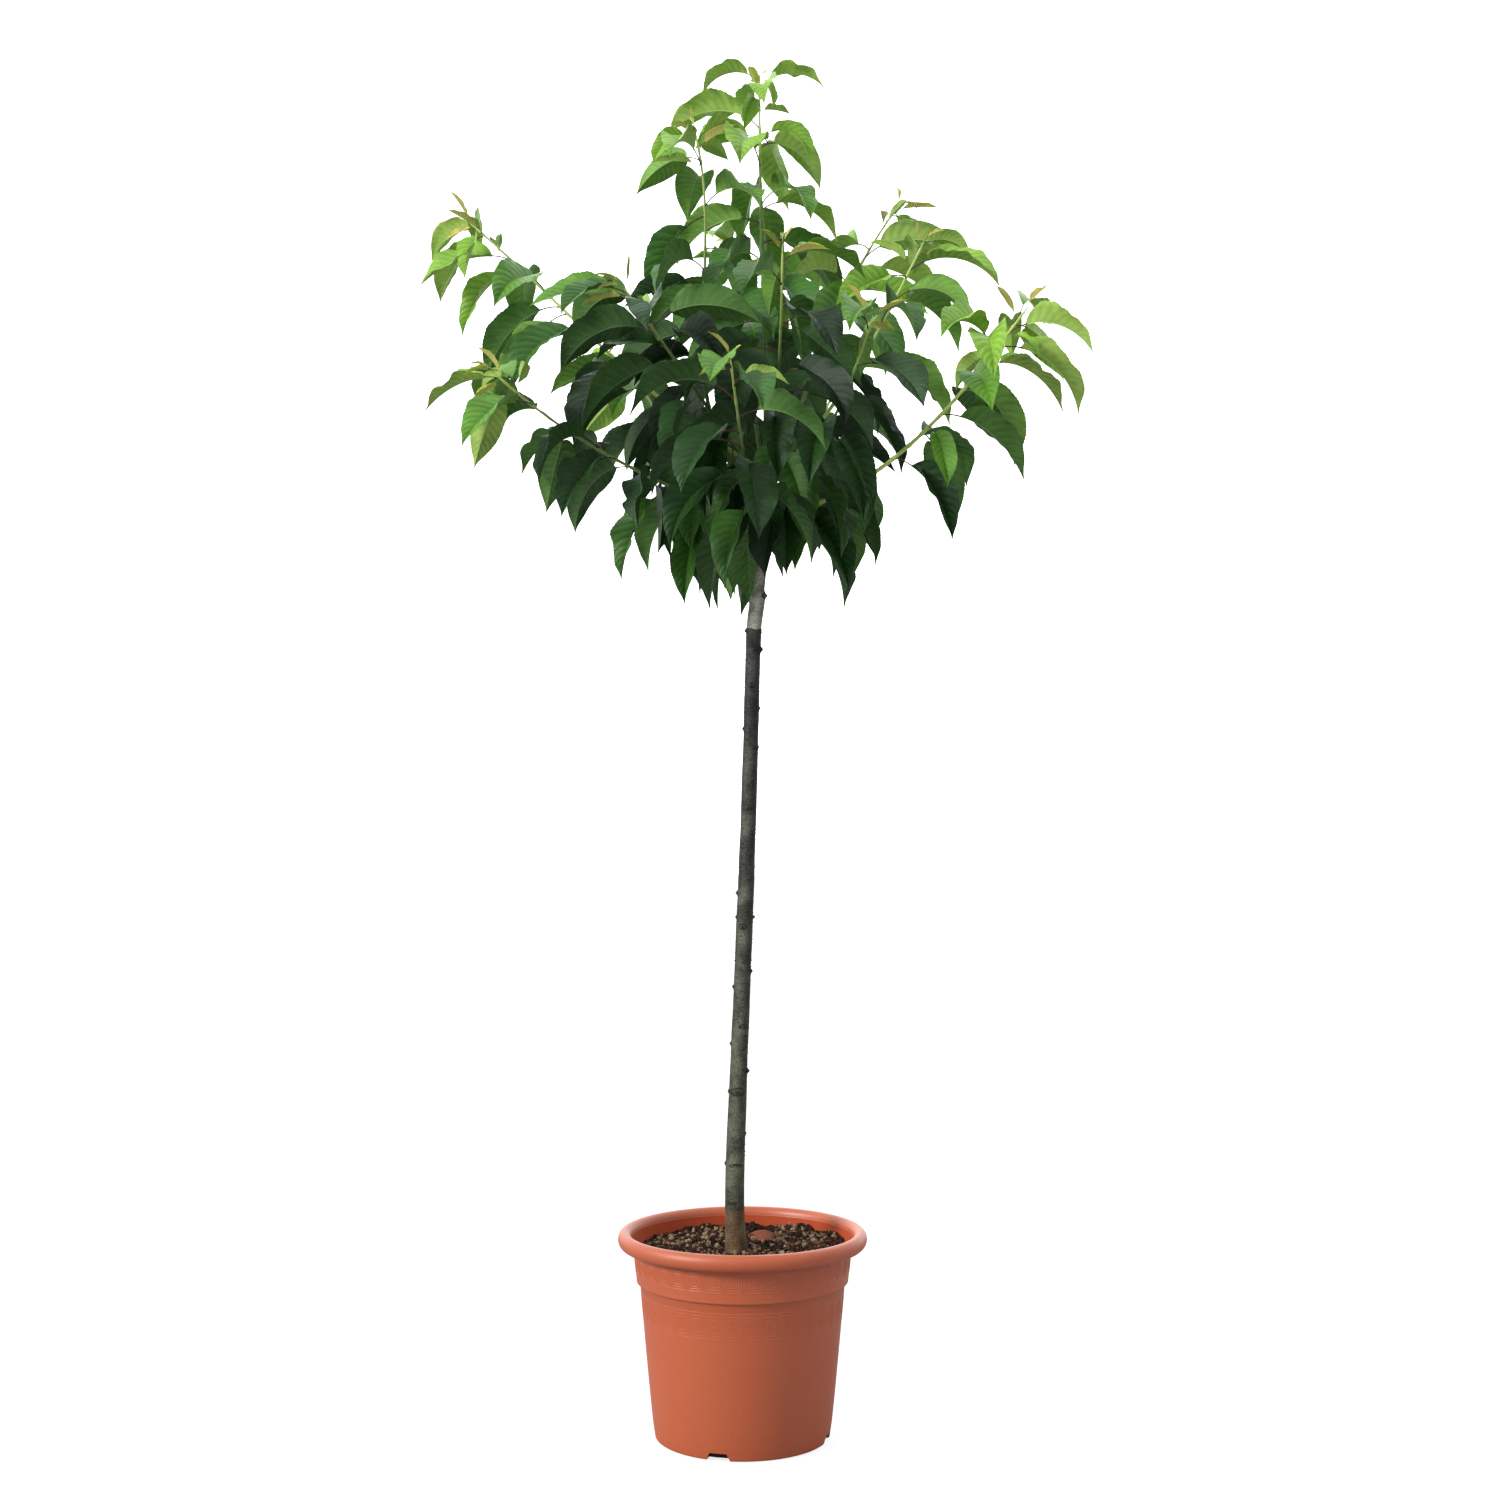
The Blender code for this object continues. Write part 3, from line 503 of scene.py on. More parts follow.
def dress(name, group, feeds, roughness, bump=0.0, bump_distance=0.001, marks=False, **sockets):
    """A material whose colour, roughness and relief come from a group."""
    mat, tree, shader = blank(name, roughness, **sockets)
    coords = node(tree, "TexCoord")
    feeds = dict(feeds, Place=coords.outputs["Object"])
    if marks:
        feeds["Marks"] = node(tree, "UVMap", uv_map="marks").outputs["UV"]
    effect = place_group(tree, group, feeds)
    tree.links.new(effect.outputs["Color"], shader.inputs["Base Color"])
    tree.links.new(effect.outputs["Roughness"], shader.inputs["Roughness"])
    if bump:
        relief = node(tree, "Bump", {"Strength": bump, "Distance": bump_distance, "Height": effect.outputs["Height"]})
        tree.links.new(relief.outputs["Normal"], shader.inputs["Normal"])
    mat.diffuse_color = feeds.get("Base", (0.5, 0.5, 0.5, 1))
    return mat


def leaf_group():
    """Ribs between sunken side veins, with a painted highlight on one side of each rib, a thin pale midrib, a fine net
    and soft patches of tone.
    """
    group, start, end = new_group(
        "blade surface",
        (("Place", "Vector", None), ("Marks", "Vector", None), ("Base", "Color", (0.1, 0.3, 0.05, 1)),
         ("Vein", "Color", (0.3, 0.5, 0.2, 1)), ("Vein Share", "Float", 0.4), ("Gloss", "Float", 0.4)),
        (("Color", "Color"), ("Roughness", "Float"), ("Height", "Float")))
    along, across, _ = node(group, "SeparateXYZ", {0: start.outputs["Marks"]}).outputs
    out = maths(group, "ABSOLUTE", maths(group, "MULTIPLY_ADD", across, 2.0, -1.0))
    phase = maths(group, "MULTIPLY", along, math.tau * VEINS)
    wave = maths(group, "MULTIPLY_ADD", maths(group, "COSINE", phase), 0.5, 0.5)
    side_veins = maths(group, "POWER", wave, 14.0)
    side_veins = maths(group, "MULTIPLY", side_veins, ramp(group, out, 0.45, 0.95, 1.0, 0.0))
    # painted highlight: one side of each rib between the side veins is painted lighter, as if lit
    rib = maths(group, "MULTIPLY_ADD", maths(group, "SINE", phase), 0.5, 0.5)
    rib = maths(group, "MULTIPLY", rib, ramp(group, out, 0.04, 0.25))
    midrib = maths(group, "MULTIPLY", ramp(group, out, 0.012, 0.045, 1.0, 0.0), ramp(group, along, 0.2, 1.0, 1.0, 0.3))
    stretched = node(group, "Mapping", {0: start.outputs["Marks"], 3: (52.0, 26.0, 1.0)}).outputs[0]
    net = node(group, "TexVoronoi", {0: stretched}, feature="DISTANCE_TO_EDGE").outputs[0]
    net = ramp(group, net, 0.02, 0.16, 1.0, 0.0)
    tone = node(group, "TexNoise", {0: start.outputs["Place"], "Scale": 24.0, "Detail": 3.0}).outputs[0]
    mottle = node(group, "TexNoise", {0: start.outputs["Place"], "Scale": 95.0, "Detail": 2.0}).outputs[0]
    dim = mix(group, 1.0, start.outputs["Base"], (0.50, 0.56, 0.60, 1), "MULTIPLY")
    lit = mix(group, 1.0, start.outputs["Base"], (1.38, 1.28, 1.30, 1), "MULTIPLY")
    base = mix(group, ramp(group, tone, 0.30, 0.68), dim, start.outputs["Base"])
    base = mix(group, maths(group, "MULTIPLY", rib, 0.45), base, lit)
    base = mix(group, ramp(group, mottle, 0.40, 0.75, 0.0, 0.25), base, dim)
    veined = maths(group, "MAXIMUM", maths(group, "MULTIPLY", side_veins, 0.45), midrib)
    veined = maths(group, "MAXIMUM", veined, maths(group, "MULTIPLY", net, 0.10))
    share = maths(group, "MULTIPLY", veined, start.outputs["Vein Share"])
    group.links.new(mix(group, share, base, start.outputs["Vein"]), end.inputs["Color"])
    group.links.new(maths(group, "ADD", start.outputs["Gloss"], ramp(group, tone, 0.3, 0.7, 0.08, -0.05)),
                    end.inputs["Roughness"])
    height = maths(group, "ADD", maths(group, "MULTIPLY", side_veins, 0.6), maths(group, "MULTIPLY", net, 0.35))
    group.links.new(maths(group, "SUBTRACT", 1.0, height), end.inputs["Height"])
    return group


def speckle_group():
    """Fine grain, soft clouds and pale scuffs, for moulded plastic, fired clay and stones."""
    group, start, end = new_group(
        "fine speckle",
        (("Place", "Vector", None), ("Base", "Color", (0.5, 0.2, 0.1, 1)), ("Fleck", "Color", (0.7, 0.4, 0.3, 1)),
         ("Grain", "Float", 900.0), ("Cloud", "Float", 7.0), ("Fleck Share", "Float", 0.3), ("Gloss", "Float", 0.45)),
        (("Color", "Color"), ("Roughness", "Float"), ("Height", "Float")))
    place = start.outputs["Place"]
    grain = node(group, "TexNoise", {0: place, "Scale": start.outputs["Grain"], "Detail": 3.0}).outputs[0]
    cloud = node(group, "TexNoise", {0: place, "Scale": start.outputs["Cloud"], "Detail": 3.0}).outputs[0]
    flecks = maths(group, "MULTIPLY", ramp(group, grain, 0.45, 0.72), start.outputs["Fleck Share"])
    dark = mix(group, 1.0, start.outputs["Base"], (0.72, 0.66, 0.62, 1), "MULTIPLY")
    base = mix(group, ramp(group, cloud, 0.35, 0.7, 0.0, 0.3), start.outputs["Base"], dark)
    group.links.new(mix(group, flecks, base, start.outputs["Fleck"]), end.inputs["Color"])
    group.links.new(maths(group, "ADD", start.outputs["Gloss"], ramp(group, cloud, 0.3, 0.7, -0.05, 0.08)),
                    end.inputs["Roughness"])
    group.links.new(grain, end.inputs["Height"])
    return group


def bark_group():
    """Bark: a base tone, a second tone in patches, and level dashes of pores, for stem and shoots."""
    group, start, end = new_group(
        "bark",
        (("Place", "Vector", None), ("Base", "Color", (0.1, 0.1, 0.1, 1)), ("Patch", "Color", (0.2, 0.2, 0.2, 1)),
         ("Pore", "Color", (0.05, 0.04, 0.03, 1)), ("Pore Share", "Float", 0.6), ("Gloss", "Float", 0.8)),
        (("Color", "Color"), ("Roughness", "Float"), ("Height", "Float")))
    place = start.outputs["Place"]
    wide = node(group, "Mapping", {0: place, 3: (190.0, 190.0, 520.0)}).outputs[0]
    patches = node(group, "TexNoise", {0: place, "Scale": 42.0, "Detail": 5.0}).outputs[0]
    streaks = node(group, "TexNoise", {0: wide, "Scale": 1.0, "Detail": 4.0}).outputs[0]
    pores = node(group, "TexVoronoi", {0: wide, "Scale": 1.0, "Randomness": 1.0}).outputs[0]
    pores = ramp(group, pores, 0.12, 0.26, 1.0, 0.0)
    base = mix(group, ramp(group, patches, 0.42, 0.66), start.outputs["Base"], start.outputs["Patch"])
    base = mix(group, ramp(group, streaks, 0.40, 0.75, 0.0, 0.45), base, start.outputs["Patch"])
    share = maths(group, "MULTIPLY", pores, start.outputs["Pore Share"])
    group.links.new(mix(group, share, base, start.outputs["Pore"]), end.inputs["Color"])
    group.links.new(maths(group, "ADD", start.outputs["Gloss"], ramp(group, patches, 0.3, 0.7, -0.08, 0.08)),
                    end.inputs["Roughness"])
    height = maths(group, "ADD", maths(group, "MULTIPLY", streaks, 0.7), maths(group, "MULTIPLY", patches, 0.5))
    group.links.new(maths(group, "ADD", height, maths(group, "MULTIPLY", pores, 0.4)), end.inputs["Height"])
    return group


# Growth: the rule of the part's source

def stem_at(height):
    """The stem's centre at a height."""
    lean = [(station[0], station[1]) for station in STEM_STATIONS]
    return Vector((table(lean, height), 0, height))


def compass(degrees, rise=0.0):
    """A unit direction from a heading and a rise above the level, in degrees."""
    level = math.cos(math.radians(rise))
    turn = math.radians(degrees)
    return Vector((math.cos(turn) * level, math.sin(turn) * level, math.sin(math.radians(rise))))


def plain_tube(points, radii, ways, sides=LIMB_SIDES):
    """Vertices and faces of a tapered limb, each ring square to its own way, with flat ends."""
    verts = []
    faces = []
    across = ways[0].orthogonal()
    for point, radius, way in zip(points, radii, ways):
        across = (across - way * across.dot(way)).normalized()
        other = way.cross(across)
        for side in range(sides):
            turn = math.tau * side / sides
            verts.append(point + (across * math.cos(turn) + other * math.sin(turn)) * radius)
    for ring in range(len(points) - 1):
        for side in range(sides):
            a = ring * sides + side
            b = ring * sides + (side + 1) % sides
            faces.append((a, b, b + sides, a + sides))
    faces.append(tuple(reversed(range(sides))))
    faces.append(tuple(range(len(verts) - sides, len(verts))))
    return verts, faces


def stem_tube():
    """The stem's plain solid."""
    points = [Vector((lean, 0, height)) for height, lean, _ in STEM_STATIONS]
    return plain_tube(points, [radius for _, _, radius in STEM_STATIONS], [UP] * len(points), CAD_STEM_SIDES)


def shoot_line(shoot):
    """Centre line of a shoot from the middle of the stem to its tip, finely divided."""
    start = stem_at(shoot.root)
    start.z = shoot.root
    tip = start + compass(shoot.heading) * shoot.reach
    tip.z = shoot.top
    handle = (tip - start).length * HANDLE
    lead = start + compass(shoot.heading + shoot.swing, shoot.launch) * handle
    trail = tip - compass(shoot.heading, shoot.finish) * handle
    return interpolate_bezier(start, lead, trail, tip, SHOOT_POINTS)


def spur_line(spur):
    """Centre line of a spur, from the middle of the stem outwards, turning up a little."""
    root = stem_at(spur.root)
    out = compass(spur.heading, spur.rise)
    tip = root + compass(spur.heading, spur.rise + SPUR_TURN_UP) * spur.length
    return interpolate_bezier(root, root + out * spur.length / 3, tip - (tip - root) / 3, tip, SPUR_POINTS)


class Line:
    """A centre line that can be read at any distance from its start."""

    def __init__(self, points):
        self.points = points
        self.marks = [0.0]
        for a, b in zip(points, points[1:]):
            self.marks.append(self.marks[-1] + (b - a).length)
        self.length = self.marks[-1]

    def at(self, distance):
        """Point at a distance."""
        for index in range(1, len(self.marks)):
            if distance <= self.marks[index] or index == len(self.marks) - 1:
                span = self.marks[index] - self.marks[index - 1]
                share = (distance - self.marks[index - 1]) / span
                return self.points[index - 1].lerp(self.points[index], share)

    def along(self, distance):
        """Direction at a distance."""
        step = self.length / 50
        return (self.at(distance + step) - self.at(distance - step)).normalized()

    def stretch(self, start, end, root_radius, tip_radius):
        """Points, radii and directions for a limb between two distances."""
        count = max(3, round((end - start) / LIMB_RING)) + 1
        marks = [start + (end - start) * index / (count - 1) for index in range(count)]
        radii = [root_radius + (tip_radius - root_radius) * mark / self.length for mark in marks]
        return [self.at(mark) for mark in marks], radii, [self.along(mark) for mark in marks]


Leaf = namedtuple("Leaf", "root heading lift droop length roll")


def leaf_pitch(leaf, share):
    """Pitch of the blade at a share of its length: it leaves the petiole and bends down."""
    return leaf.lift + (leaf.droop - leaf.lift) * share ** BLADE_BEND


def leaf_rings(leaf, extra=0.0, petiole_from=0.0):
    """Rings of four points along a leaf: left edge, top of the midrib, right edge, underside."""
    stalk = leaf.length * PETIOLE
    rise = leaf.lift + PETIOLE_RISE
    foot = leaf.root + compass(leaf.heading, rise) * stalk * petiole_from
    point = leaf.root + compass(leaf.heading, rise) * stalk
    slim = leaf.length * PETIOLE_RADIUS + extra
    thick = leaf.length * LEAF_THICKNESS / 2 + extra
    sections = [(foot, rise, slim, slim, 0.0), (point, leaf.lift, slim, slim, 0.0)]
    mark = 0.0
    for share, width in BLADE_RINGS:
        for step in range(BLADE_STEPS):
            pitch = leaf_pitch(leaf, mark + (share - mark) * (step + 0.5) / BLADE_STEPS)
            point = point + compass(leaf.heading, pitch) * leaf.length * (share - mark) / BLADE_STEPS
        mark = share
        half = leaf.length * LEAF_WIDTH / 2 * width + extra
        sections.append((point, leaf_pitch(leaf, mark), half, thick, LEAF_FOLD))
    rings = []
    for centre, pitch, half, depth, fold in sections:
        out = compass(leaf.heading, pitch)
        side = Matrix.Rotation(math.radians(leaf.roll), 3, out) @ compass(leaf.heading + 90)
        top = out.cross(side)
        edge = side * half * math.cos(fold)
        lift = top * half * math.sin(fold)
        rings.append((centre + edge + lift, centre + top * depth, centre - edge + lift, centre - top * depth))
    return rings


def leaf_solid(leaf, extra=0.0, petiole_from=0.0):
    """Vertices and faces of a plain leaf, closed to a point at its tip."""
    rings = leaf_rings(leaf, extra, petiole_from)
    verts = [point for ring in rings[:-1] for point in ring]
    verts.append(sum(rings[-1], Vector()) / 4)
    faces = [(3, 2, 1, 0)]
    for ring in range(len(rings) - 2):
        for side in range(4):
            a = ring * 4 + side
            b = ring * 4 + (side + 1) % 4
            faces.append((a, b, b + 4, a + 4))
    last = len(verts) - 5
    for side in range(4):
        faces.append((last + side, last + (side + 1) % 4, len(verts) - 1))
    return verts, faces


class Space:
    """What already fills the crown, to test a new leaf against."""

    def __init__(self):
        self.taken = []

    @staticmethod
    def box(verts):
        low = Vector([min(v[i] for v in verts) for i in range(3)])
        high = Vector([max(v[i] for v in verts) for i in range(3)])
        return low, high

    def add(self, verts, faces, name=None):
        """Mark a shape as taken."""
        self.taken.append((*self.box(verts), BVHTree.FromPolygons(verts, faces), name))

    def free(self, verts, faces, beside=None):
        """Say whether a shape touches nothing that is marked, beside the limb it grows on."""
        low, high = self.box(verts)
        tree = None
        for other_low, other_high, other, name in self.taken:
            if name and name == beside:
                continue
            if any(low[i] > other_high[i] or high[i] < other_low[i] for i in range(3)):
                continue
            tree = tree or BVHTree.FromPolygons(verts, faces)
            if tree.overlap(other):
                return False
        return True


def place_leaf(space, leaf, limb_name):
    """Turn a leaf a little until it touches nothing but the limb it grows on, or give it up."""
    for attempt in range(LEAF_TRIES):
        swing = (attempt + 1) // 2 * TRY_SWING * (1 if attempt % 2 else -1)
        sink = TRY_SINK * attempt
        tried = leaf._replace(heading=leaf.heading + swing, lift=leaf.lift - sink,
                              droop=max(leaf.droop - sink, LOWEST_DROOP),
                              roll=leaf.roll * (1 - attempt / LEAF_TRIES))
        whole = leaf_solid(tried, LEAF_CLEARANCE)
        outer = leaf_solid(tried, LEAF_CLEARANCE, FREE_PETIOLE)
        if space.free(*whole, beside=limb_name) and space.free(*outer):
            space.add(*leaf_solid(tried))
            return tried
    return None


def shoot_leaves(space, limb, shoot):
    """Leaves in a spiral up a shoot, each with its share of the way to the tip."""
    rng = random.Random(shoot.seed)
    placed = []
    turn = rng.uniform(0, 360)
    for index in range(shoot.leaves):
        share = (index + 0.35) / (shoot.leaves - 0.3)
        mark = FIRST_LEAF + (limb.length - FIRST_LEAF - LAST_LEAF) * share ** CROWDING
        along = limb.along(mark)
        out = Matrix.Rotation(math.radians(turn), 3, along) @ along.orthogonal().normalized()
        turn += LEAF_TURN + rng.uniform(-TURN_SPREAD, TURN_SPREAD)
        way = out + along * LEAN_ALONG + UP * LEAN_UP
        slope = math.degrees(math.asin(way.normalized().z))
        length = LEAF_LENGTH * table(SHOOT_SIZES, share) * rng.uniform(*SIZE_CHANCE)
        lift = LIFT_FOLLOWS * slope + LIFT_FOOT + LIFT_GAIN * share + rng.uniform(-LIFT_SPREAD, LIFT_SPREAD)
        droop = DROOP_FOOT + DROOP_GAIN * share ** 1.6 + rng.uniform(*DROOP_CHANCE)
        roll = rng.uniform(-1, 1) * (ROLL_FOOT - ROLL_LOSS * share)
        heading = math.degrees(math.atan2(way.y, way.x))
        leaf = Leaf(limb.at(mark), heading, min(lift, LIFT_MOST), min(droop, lift - LEAST_BEND), length, roll)
        placed.append((place_leaf(space, leaf, shoot.name), share))
    return [(leaf, share) for leaf, share in placed if leaf]


def spur_leaves(space, limb, spur):
    """Leaves that fan out from a spur and hang, as old as the foot of a shoot."""
    rng = random.Random(spur.seed)
    placed = []
    for index in range(spur.leaves):
        share = (index + 0.6) / spur.leaves
        fan = (index * LEAF_TURN / 360 + 0.5) % 1 - 0.5
        heading = spur.heading + SPUR_FAN * fan + rng.uniform(-LIFT_SPREAD, LIFT_SPREAD)
        length = LEAF_LENGTH * rng.uniform(*SPUR_SIZES)
        lift = SPUR_LIFT + SPUR_LIFT_GAIN * (share - 0.5) + rng.uniform(-SPUR_LIFT_SPREAD, SPUR_LIFT_SPREAD)
        droop = SPUR_DROOP + rng.uniform(*SPUR_DROOP_CHANCE)
        root = limb.at(limb.length * (SPUR_LEAFY[0] + SPUR_LEAFY[1] * share))
        leaf = Leaf(root, heading, lift, droop, length, rng.uniform(-SPUR_ROLL, SPUR_ROLL))
        placed.append((place_leaf(space, leaf, spur.name), 0.0))
    return [(leaf, share) for leaf, share in placed if leaf]


def further_leaf(space, limb, name, seed):
    """One more leaf on a limb, drawn from its own seed, if it touches nothing."""
    rng = random.Random(seed)
    share = rng.uniform(*FURTHER_SHARES)
    root = limb.at(FIRST_LEAF + (limb.length - FIRST_LEAF - LAST_LEAF) * share)
    length = LEAF_LENGTH * table(SHOOT_SIZES, share) * rng.uniform(*FURTHER_SIZES)
    heading = rng.uniform(0, 360)
    lift = rng.uniform(*FURTHER_LIFT)
    droop = min(lift - LEAST_BEND, rng.uniform(*FURTHER_DROOP))
    leaf = Leaf(root, heading, lift, droop, length, rng.uniform(-FURTHER_ROLL, FURTHER_ROLL))
    return fit_leaf(space, name, leaf, share)


def set_leaf(space, limb, name, share, *shape):
    """One more leaf on a limb, as listed, if it touches nothing."""
    root = limb.at(FIRST_LEAF + (limb.length - FIRST_LEAF - LAST_LEAF) * share)
    return fit_leaf(space, name, Leaf(root, *shape), min(share, TIP_FROM))


def fit_leaf(space, name, leaf, share):
    """The leaf as it stands and its share, or nothing where it would touch something."""
    whole = leaf_solid(leaf, LEAF_CLEARANCE)
    outer = leaf_solid(leaf, LEAF_CLEARANCE, FREE_PETIOLE)
    if space.free(*whole, beside=name) and space.free(*outer):
        space.add(*leaf_solid(leaf))
        return leaf, share
    return None


def limb_space(feet, limbs):
    """What the stem and the limbs fill."""
    space = Space()
    space.add(*stem_tube())
    for foot in feet:
        space.add(*plain_tube(*foot))
    for twig, limb in limbs.items():
        space.add(*plain_tube(*limb), twig.name)
    return space


def grow():
    """All limbs and leaves: lines of shoots and spurs, and the leaves of each by name."""
    shoots = [(shoot, Line(shoot_line(shoot))) for shoot in SHOOTS]
    spurs = [(spur, Line(spur_line(spur))) for spur in SPURS]
    feet = [line.stretch(0.0, shoot.bare, shoot.radius, SHOOT_TIP_RADIUS) for shoot, line in shoots]
    limbs = {}
    for shoot, line in shoots:
        limbs[shoot] = line.stretch(shoot.bare + GAP, line.length, shoot.radius, SHOOT_TIP_RADIUS)
    for spur, line in spurs:
        limbs[spur] = line.stretch(0.0, line.length, SPUR_RADIUS, SHOOT_TIP_RADIUS)
    space = limb_space(feet, limbs)
    leaves = {shoot.name: shoot_leaves(space, Line(limbs[shoot][0]), shoot) for shoot in SHOOTS}
    for spur in SPURS:
        leaves[spur.name] = spur_leaves(space, Line(limbs[spur][0]), spur)
    space = limb_space(feet, limbs)
    for name, grown in leaves.items():
        leaves[name] = [found for index, found in enumerate(grown) if index not in THINNED.get(name, ())]
        for leaf, _ in leaves[name]:
            space.add(*leaf_solid(leaf))
    for twig, limb in limbs.items():
        line = Line(limb[0])
        grown = [set_leaf(space, line, twig.name, *row) for row in SET_LEAVES.get(twig.name, ())]
        grown += [further_leaf(space, line, twig.name, seed) for seed in FURTHER.get(twig.name, ())]
        leaves[twig.name] += [found for found in grown if found]
    return space, shoots, spurs, leaves


# Fine limbs

def fine_tube(points, radii, sides):
    """Vertices and faces of a limb with many rings, carried along its line without twist."""
    points = np.asarray(points, float)
    ways = unit(np.gradient(points, axis=0))
    turns = np.arange(sides) * math.tau / sides
    across = np.array(Vector(ways[0]).orthogonal().normalized())
    verts = []
    for point, radius, way in zip(points, radii, ways):
        across = across - way * across.dot(way)
        across /= np.linalg.norm(across)
        other = np.cross(way, across)
        verts.append(point + radius * (np.cos(turns)[:, None] * across + np.sin(turns)[:, None] * other))
    ring = np.arange(sides)
    after = (ring + 1) % sides
    faces = []
    for start in range(0, sides * (len(points) - 1), sides):
        faces.extend(np.stack((ring, after, after + sides, ring + sides), axis=1) + start)
    faces = [list(face) for face in np.array(faces)]
    faces.append(list(range(sides))[::-1])
    faces.append([sides * (len(points) - 1) + i for i in range(sides)])
    return np.concatenate(verts), faces


# Blades

def blade_faces():
    """The faces of one closed blade and their finish: 0 the top, 1 the underside."""
    columns = len(BLADE_COLUMNS)
    layer = (BLADE_ROWS + 1) * columns
    top = []
    finish = []
    for row in range(BLADE_ROWS):
        for column in range(columns - 1):
            a = row * columns + column
            top.append((a, a + columns, a + columns + 1, a + 1))
            finish.append(0)
    edges = {(face[i], face[(i + 1) % 4]) for face in top for i in range(4)}
    rim = [(b, a, a + layer, b + layer) for a, b in sorted(edges) if (b, a) not in edges]
    under = [tuple(i + layer for i in reversed(face)) for face in top]
    return np.array(top + under + rim), np.array(finish + [1] * (len(under) + len(rim)))


BLADE_FACES, BLADE_FINISH = blade_faces()


def blade_points(leaf, rng, youth=0.0):
    """Vertices of a blade: bent, folded at the midrib, ruffled, quilted between its veins, toothed.

    A young blade is narrow, more folded and smooth.
    """
    steps = np.linspace(0, 1, BLADE_STATIONS)
    sway = math.radians(rng.uniform(-1, 1) * BLADE_SWAY)
    heading = math.radians(leaf.heading) + sway * steps ** 1.5
    pitch = np.radians(leaf.lift + (leaf.droop - leaf.lift) * steps ** BLADE_BEND)
    roll = np.radians(leaf.roll + rng.uniform(-1, 1) * BLADE_TWIST * (steps - 0.3))
    out = np.stack((np.cos(heading) * np.cos(pitch), np.sin(heading) * np.cos(pitch), np.sin(pitch)), axis=1)
    level = np.stack((-np.sin(heading), np.cos(heading), np.zeros_like(heading)), axis=1)
    side = level * np.cos(roll)[:, None] + np.cross(out, level) * np.sin(roll)[:, None]
    top = np.cross(out, side)
    foot = np.array(leaf.root + compass(leaf.heading, leaf.lift + PETIOLE_RISE) * leaf.length * PETIOLE)
    middle = (out[1:] + out[:-1]) / 2 * leaf.length / (BLADE_STATIONS - 1)
    centre = foot + np.concatenate((np.zeros((1, 3)), np.cumsum(middle, axis=0)))

    row = np.linspace(0, 1, BLADE_ROWS + 1)[:, None]
    column = np.array(BLADE_COLUMNS, float)[None, :]
    spread = np.abs(column)
    index = np.arange(BLADE_ROWS + 1)[:, None]
    toothed = (index % 2) * (spread == 1) * (row > 0.05) * (row < 0.97)
    share = np.clip(row + VEIN_SLANT * spread ** 1.15 * 4 * row * (1 - row) + toothed * 0.3 / BLADE_ROWS, 0, 1)
    places, widths = zip(*BLADE_OUTLINE)
    half = leaf.length * LEAF_WIDTH / 2 * smooth(places, widths, share) * (1 + TOOTH * toothed)
    half = half * (1 + rng.uniform(-0.05, 0.05) * column) * (1 - (1 - YOUNG_WIDTH) * youth)

    fold = LEAF_FOLD + math.radians(rng.uniform(3, 30) + YOUNG_FOLD * youth) + 0.30 * np.exp(-(share / 0.16) ** 2)
    fold = fold + 0.25 * (share - 0.45) ** 2
    waves = rng.uniform(1.4, 2.6)
    start = np.where(column < 0, rng.uniform(0, 1), rng.uniform(0, 1))
    ruffle = RUFFLE * rng.uniform(0.4, 1.5) * np.sin(math.tau * (waves * share + start)) * spread ** 2
    ruffle = ruffle + 0.035 * np.sin(math.tau * (rng.uniform(5, 7) * share + 2 * start)) * spread ** 3
    groove = (0.5 + 0.5 * np.cos(math.tau * VEINS * row)) ** 3
    quilt = (0.35 - groove) * VEIN_DEPTH * np.minimum(1, spread / 0.2) * (1 - spread ** 5) * np.sin(math.pi * row) ** 0.5
    rise = half * (spread * np.sin(fold) * (1.28 - 0.36 * spread) + ruffle) + leaf.length * quilt * (1 - 0.6 * youth)
    rise = rise - leaf.length * 0.0022 * (spread < 0.01)
    across = half * column * np.cos(fold)

    def read(values):
        return np.stack([np.interp(share, steps, values[:, i]) for i in range(3)], axis=-1)

    upper = read(centre) + read(side) * across[..., None] + read(top) * rise[..., None]
    rib = MIDRIB_DEEP * np.exp(-(column / 0.05) ** 2) * (1 - 0.8 * row)
    thickness = leaf.length * (BLADE_THIN + rib)
    lower = upper - read(top) * thickness[..., None]
    marks = np.stack(np.broadcast_arrays(row, (column + 1) / 2), axis=-1).reshape(-1, 2)
    return np.concatenate((upper.reshape(-1, 3), lower.reshape(-1, 3))), np.concatenate((marks, marks))


def stalk(leaf):
    """The petiole: a thin arched tube, stouter where it leaves the shoot and where it meets the blade."""
    rise = leaf.lift + PETIOLE_RISE
    length = leaf.length * PETIOLE
    foot = leaf.root + compass(leaf.heading, rise) * length
    lead = leaf.root + compass(leaf.heading, rise + 16) * length * 0.35
    trail = foot - compass(leaf.heading, leaf.lift) * length * 0.35
    over = foot + compass(leaf.heading, leaf.lift) * leaf.length * 0.02
    points = interpolate_bezier(leaf.root, lead, trail, foot, STALK_RINGS) + [over]
    shares = np.linspace(0, 1, STALK_RINGS + 1)
    swell = 1 + 0.8 * np.exp(-(shares / 0.10) ** 2) + 0.25 * np.exp(-((1 - shares) / 0.15) ** 2)
    return fine_tube(points, swell * leaf.length * STALK_RADIUS, STALK_SIDES)


# Camera, light and floor

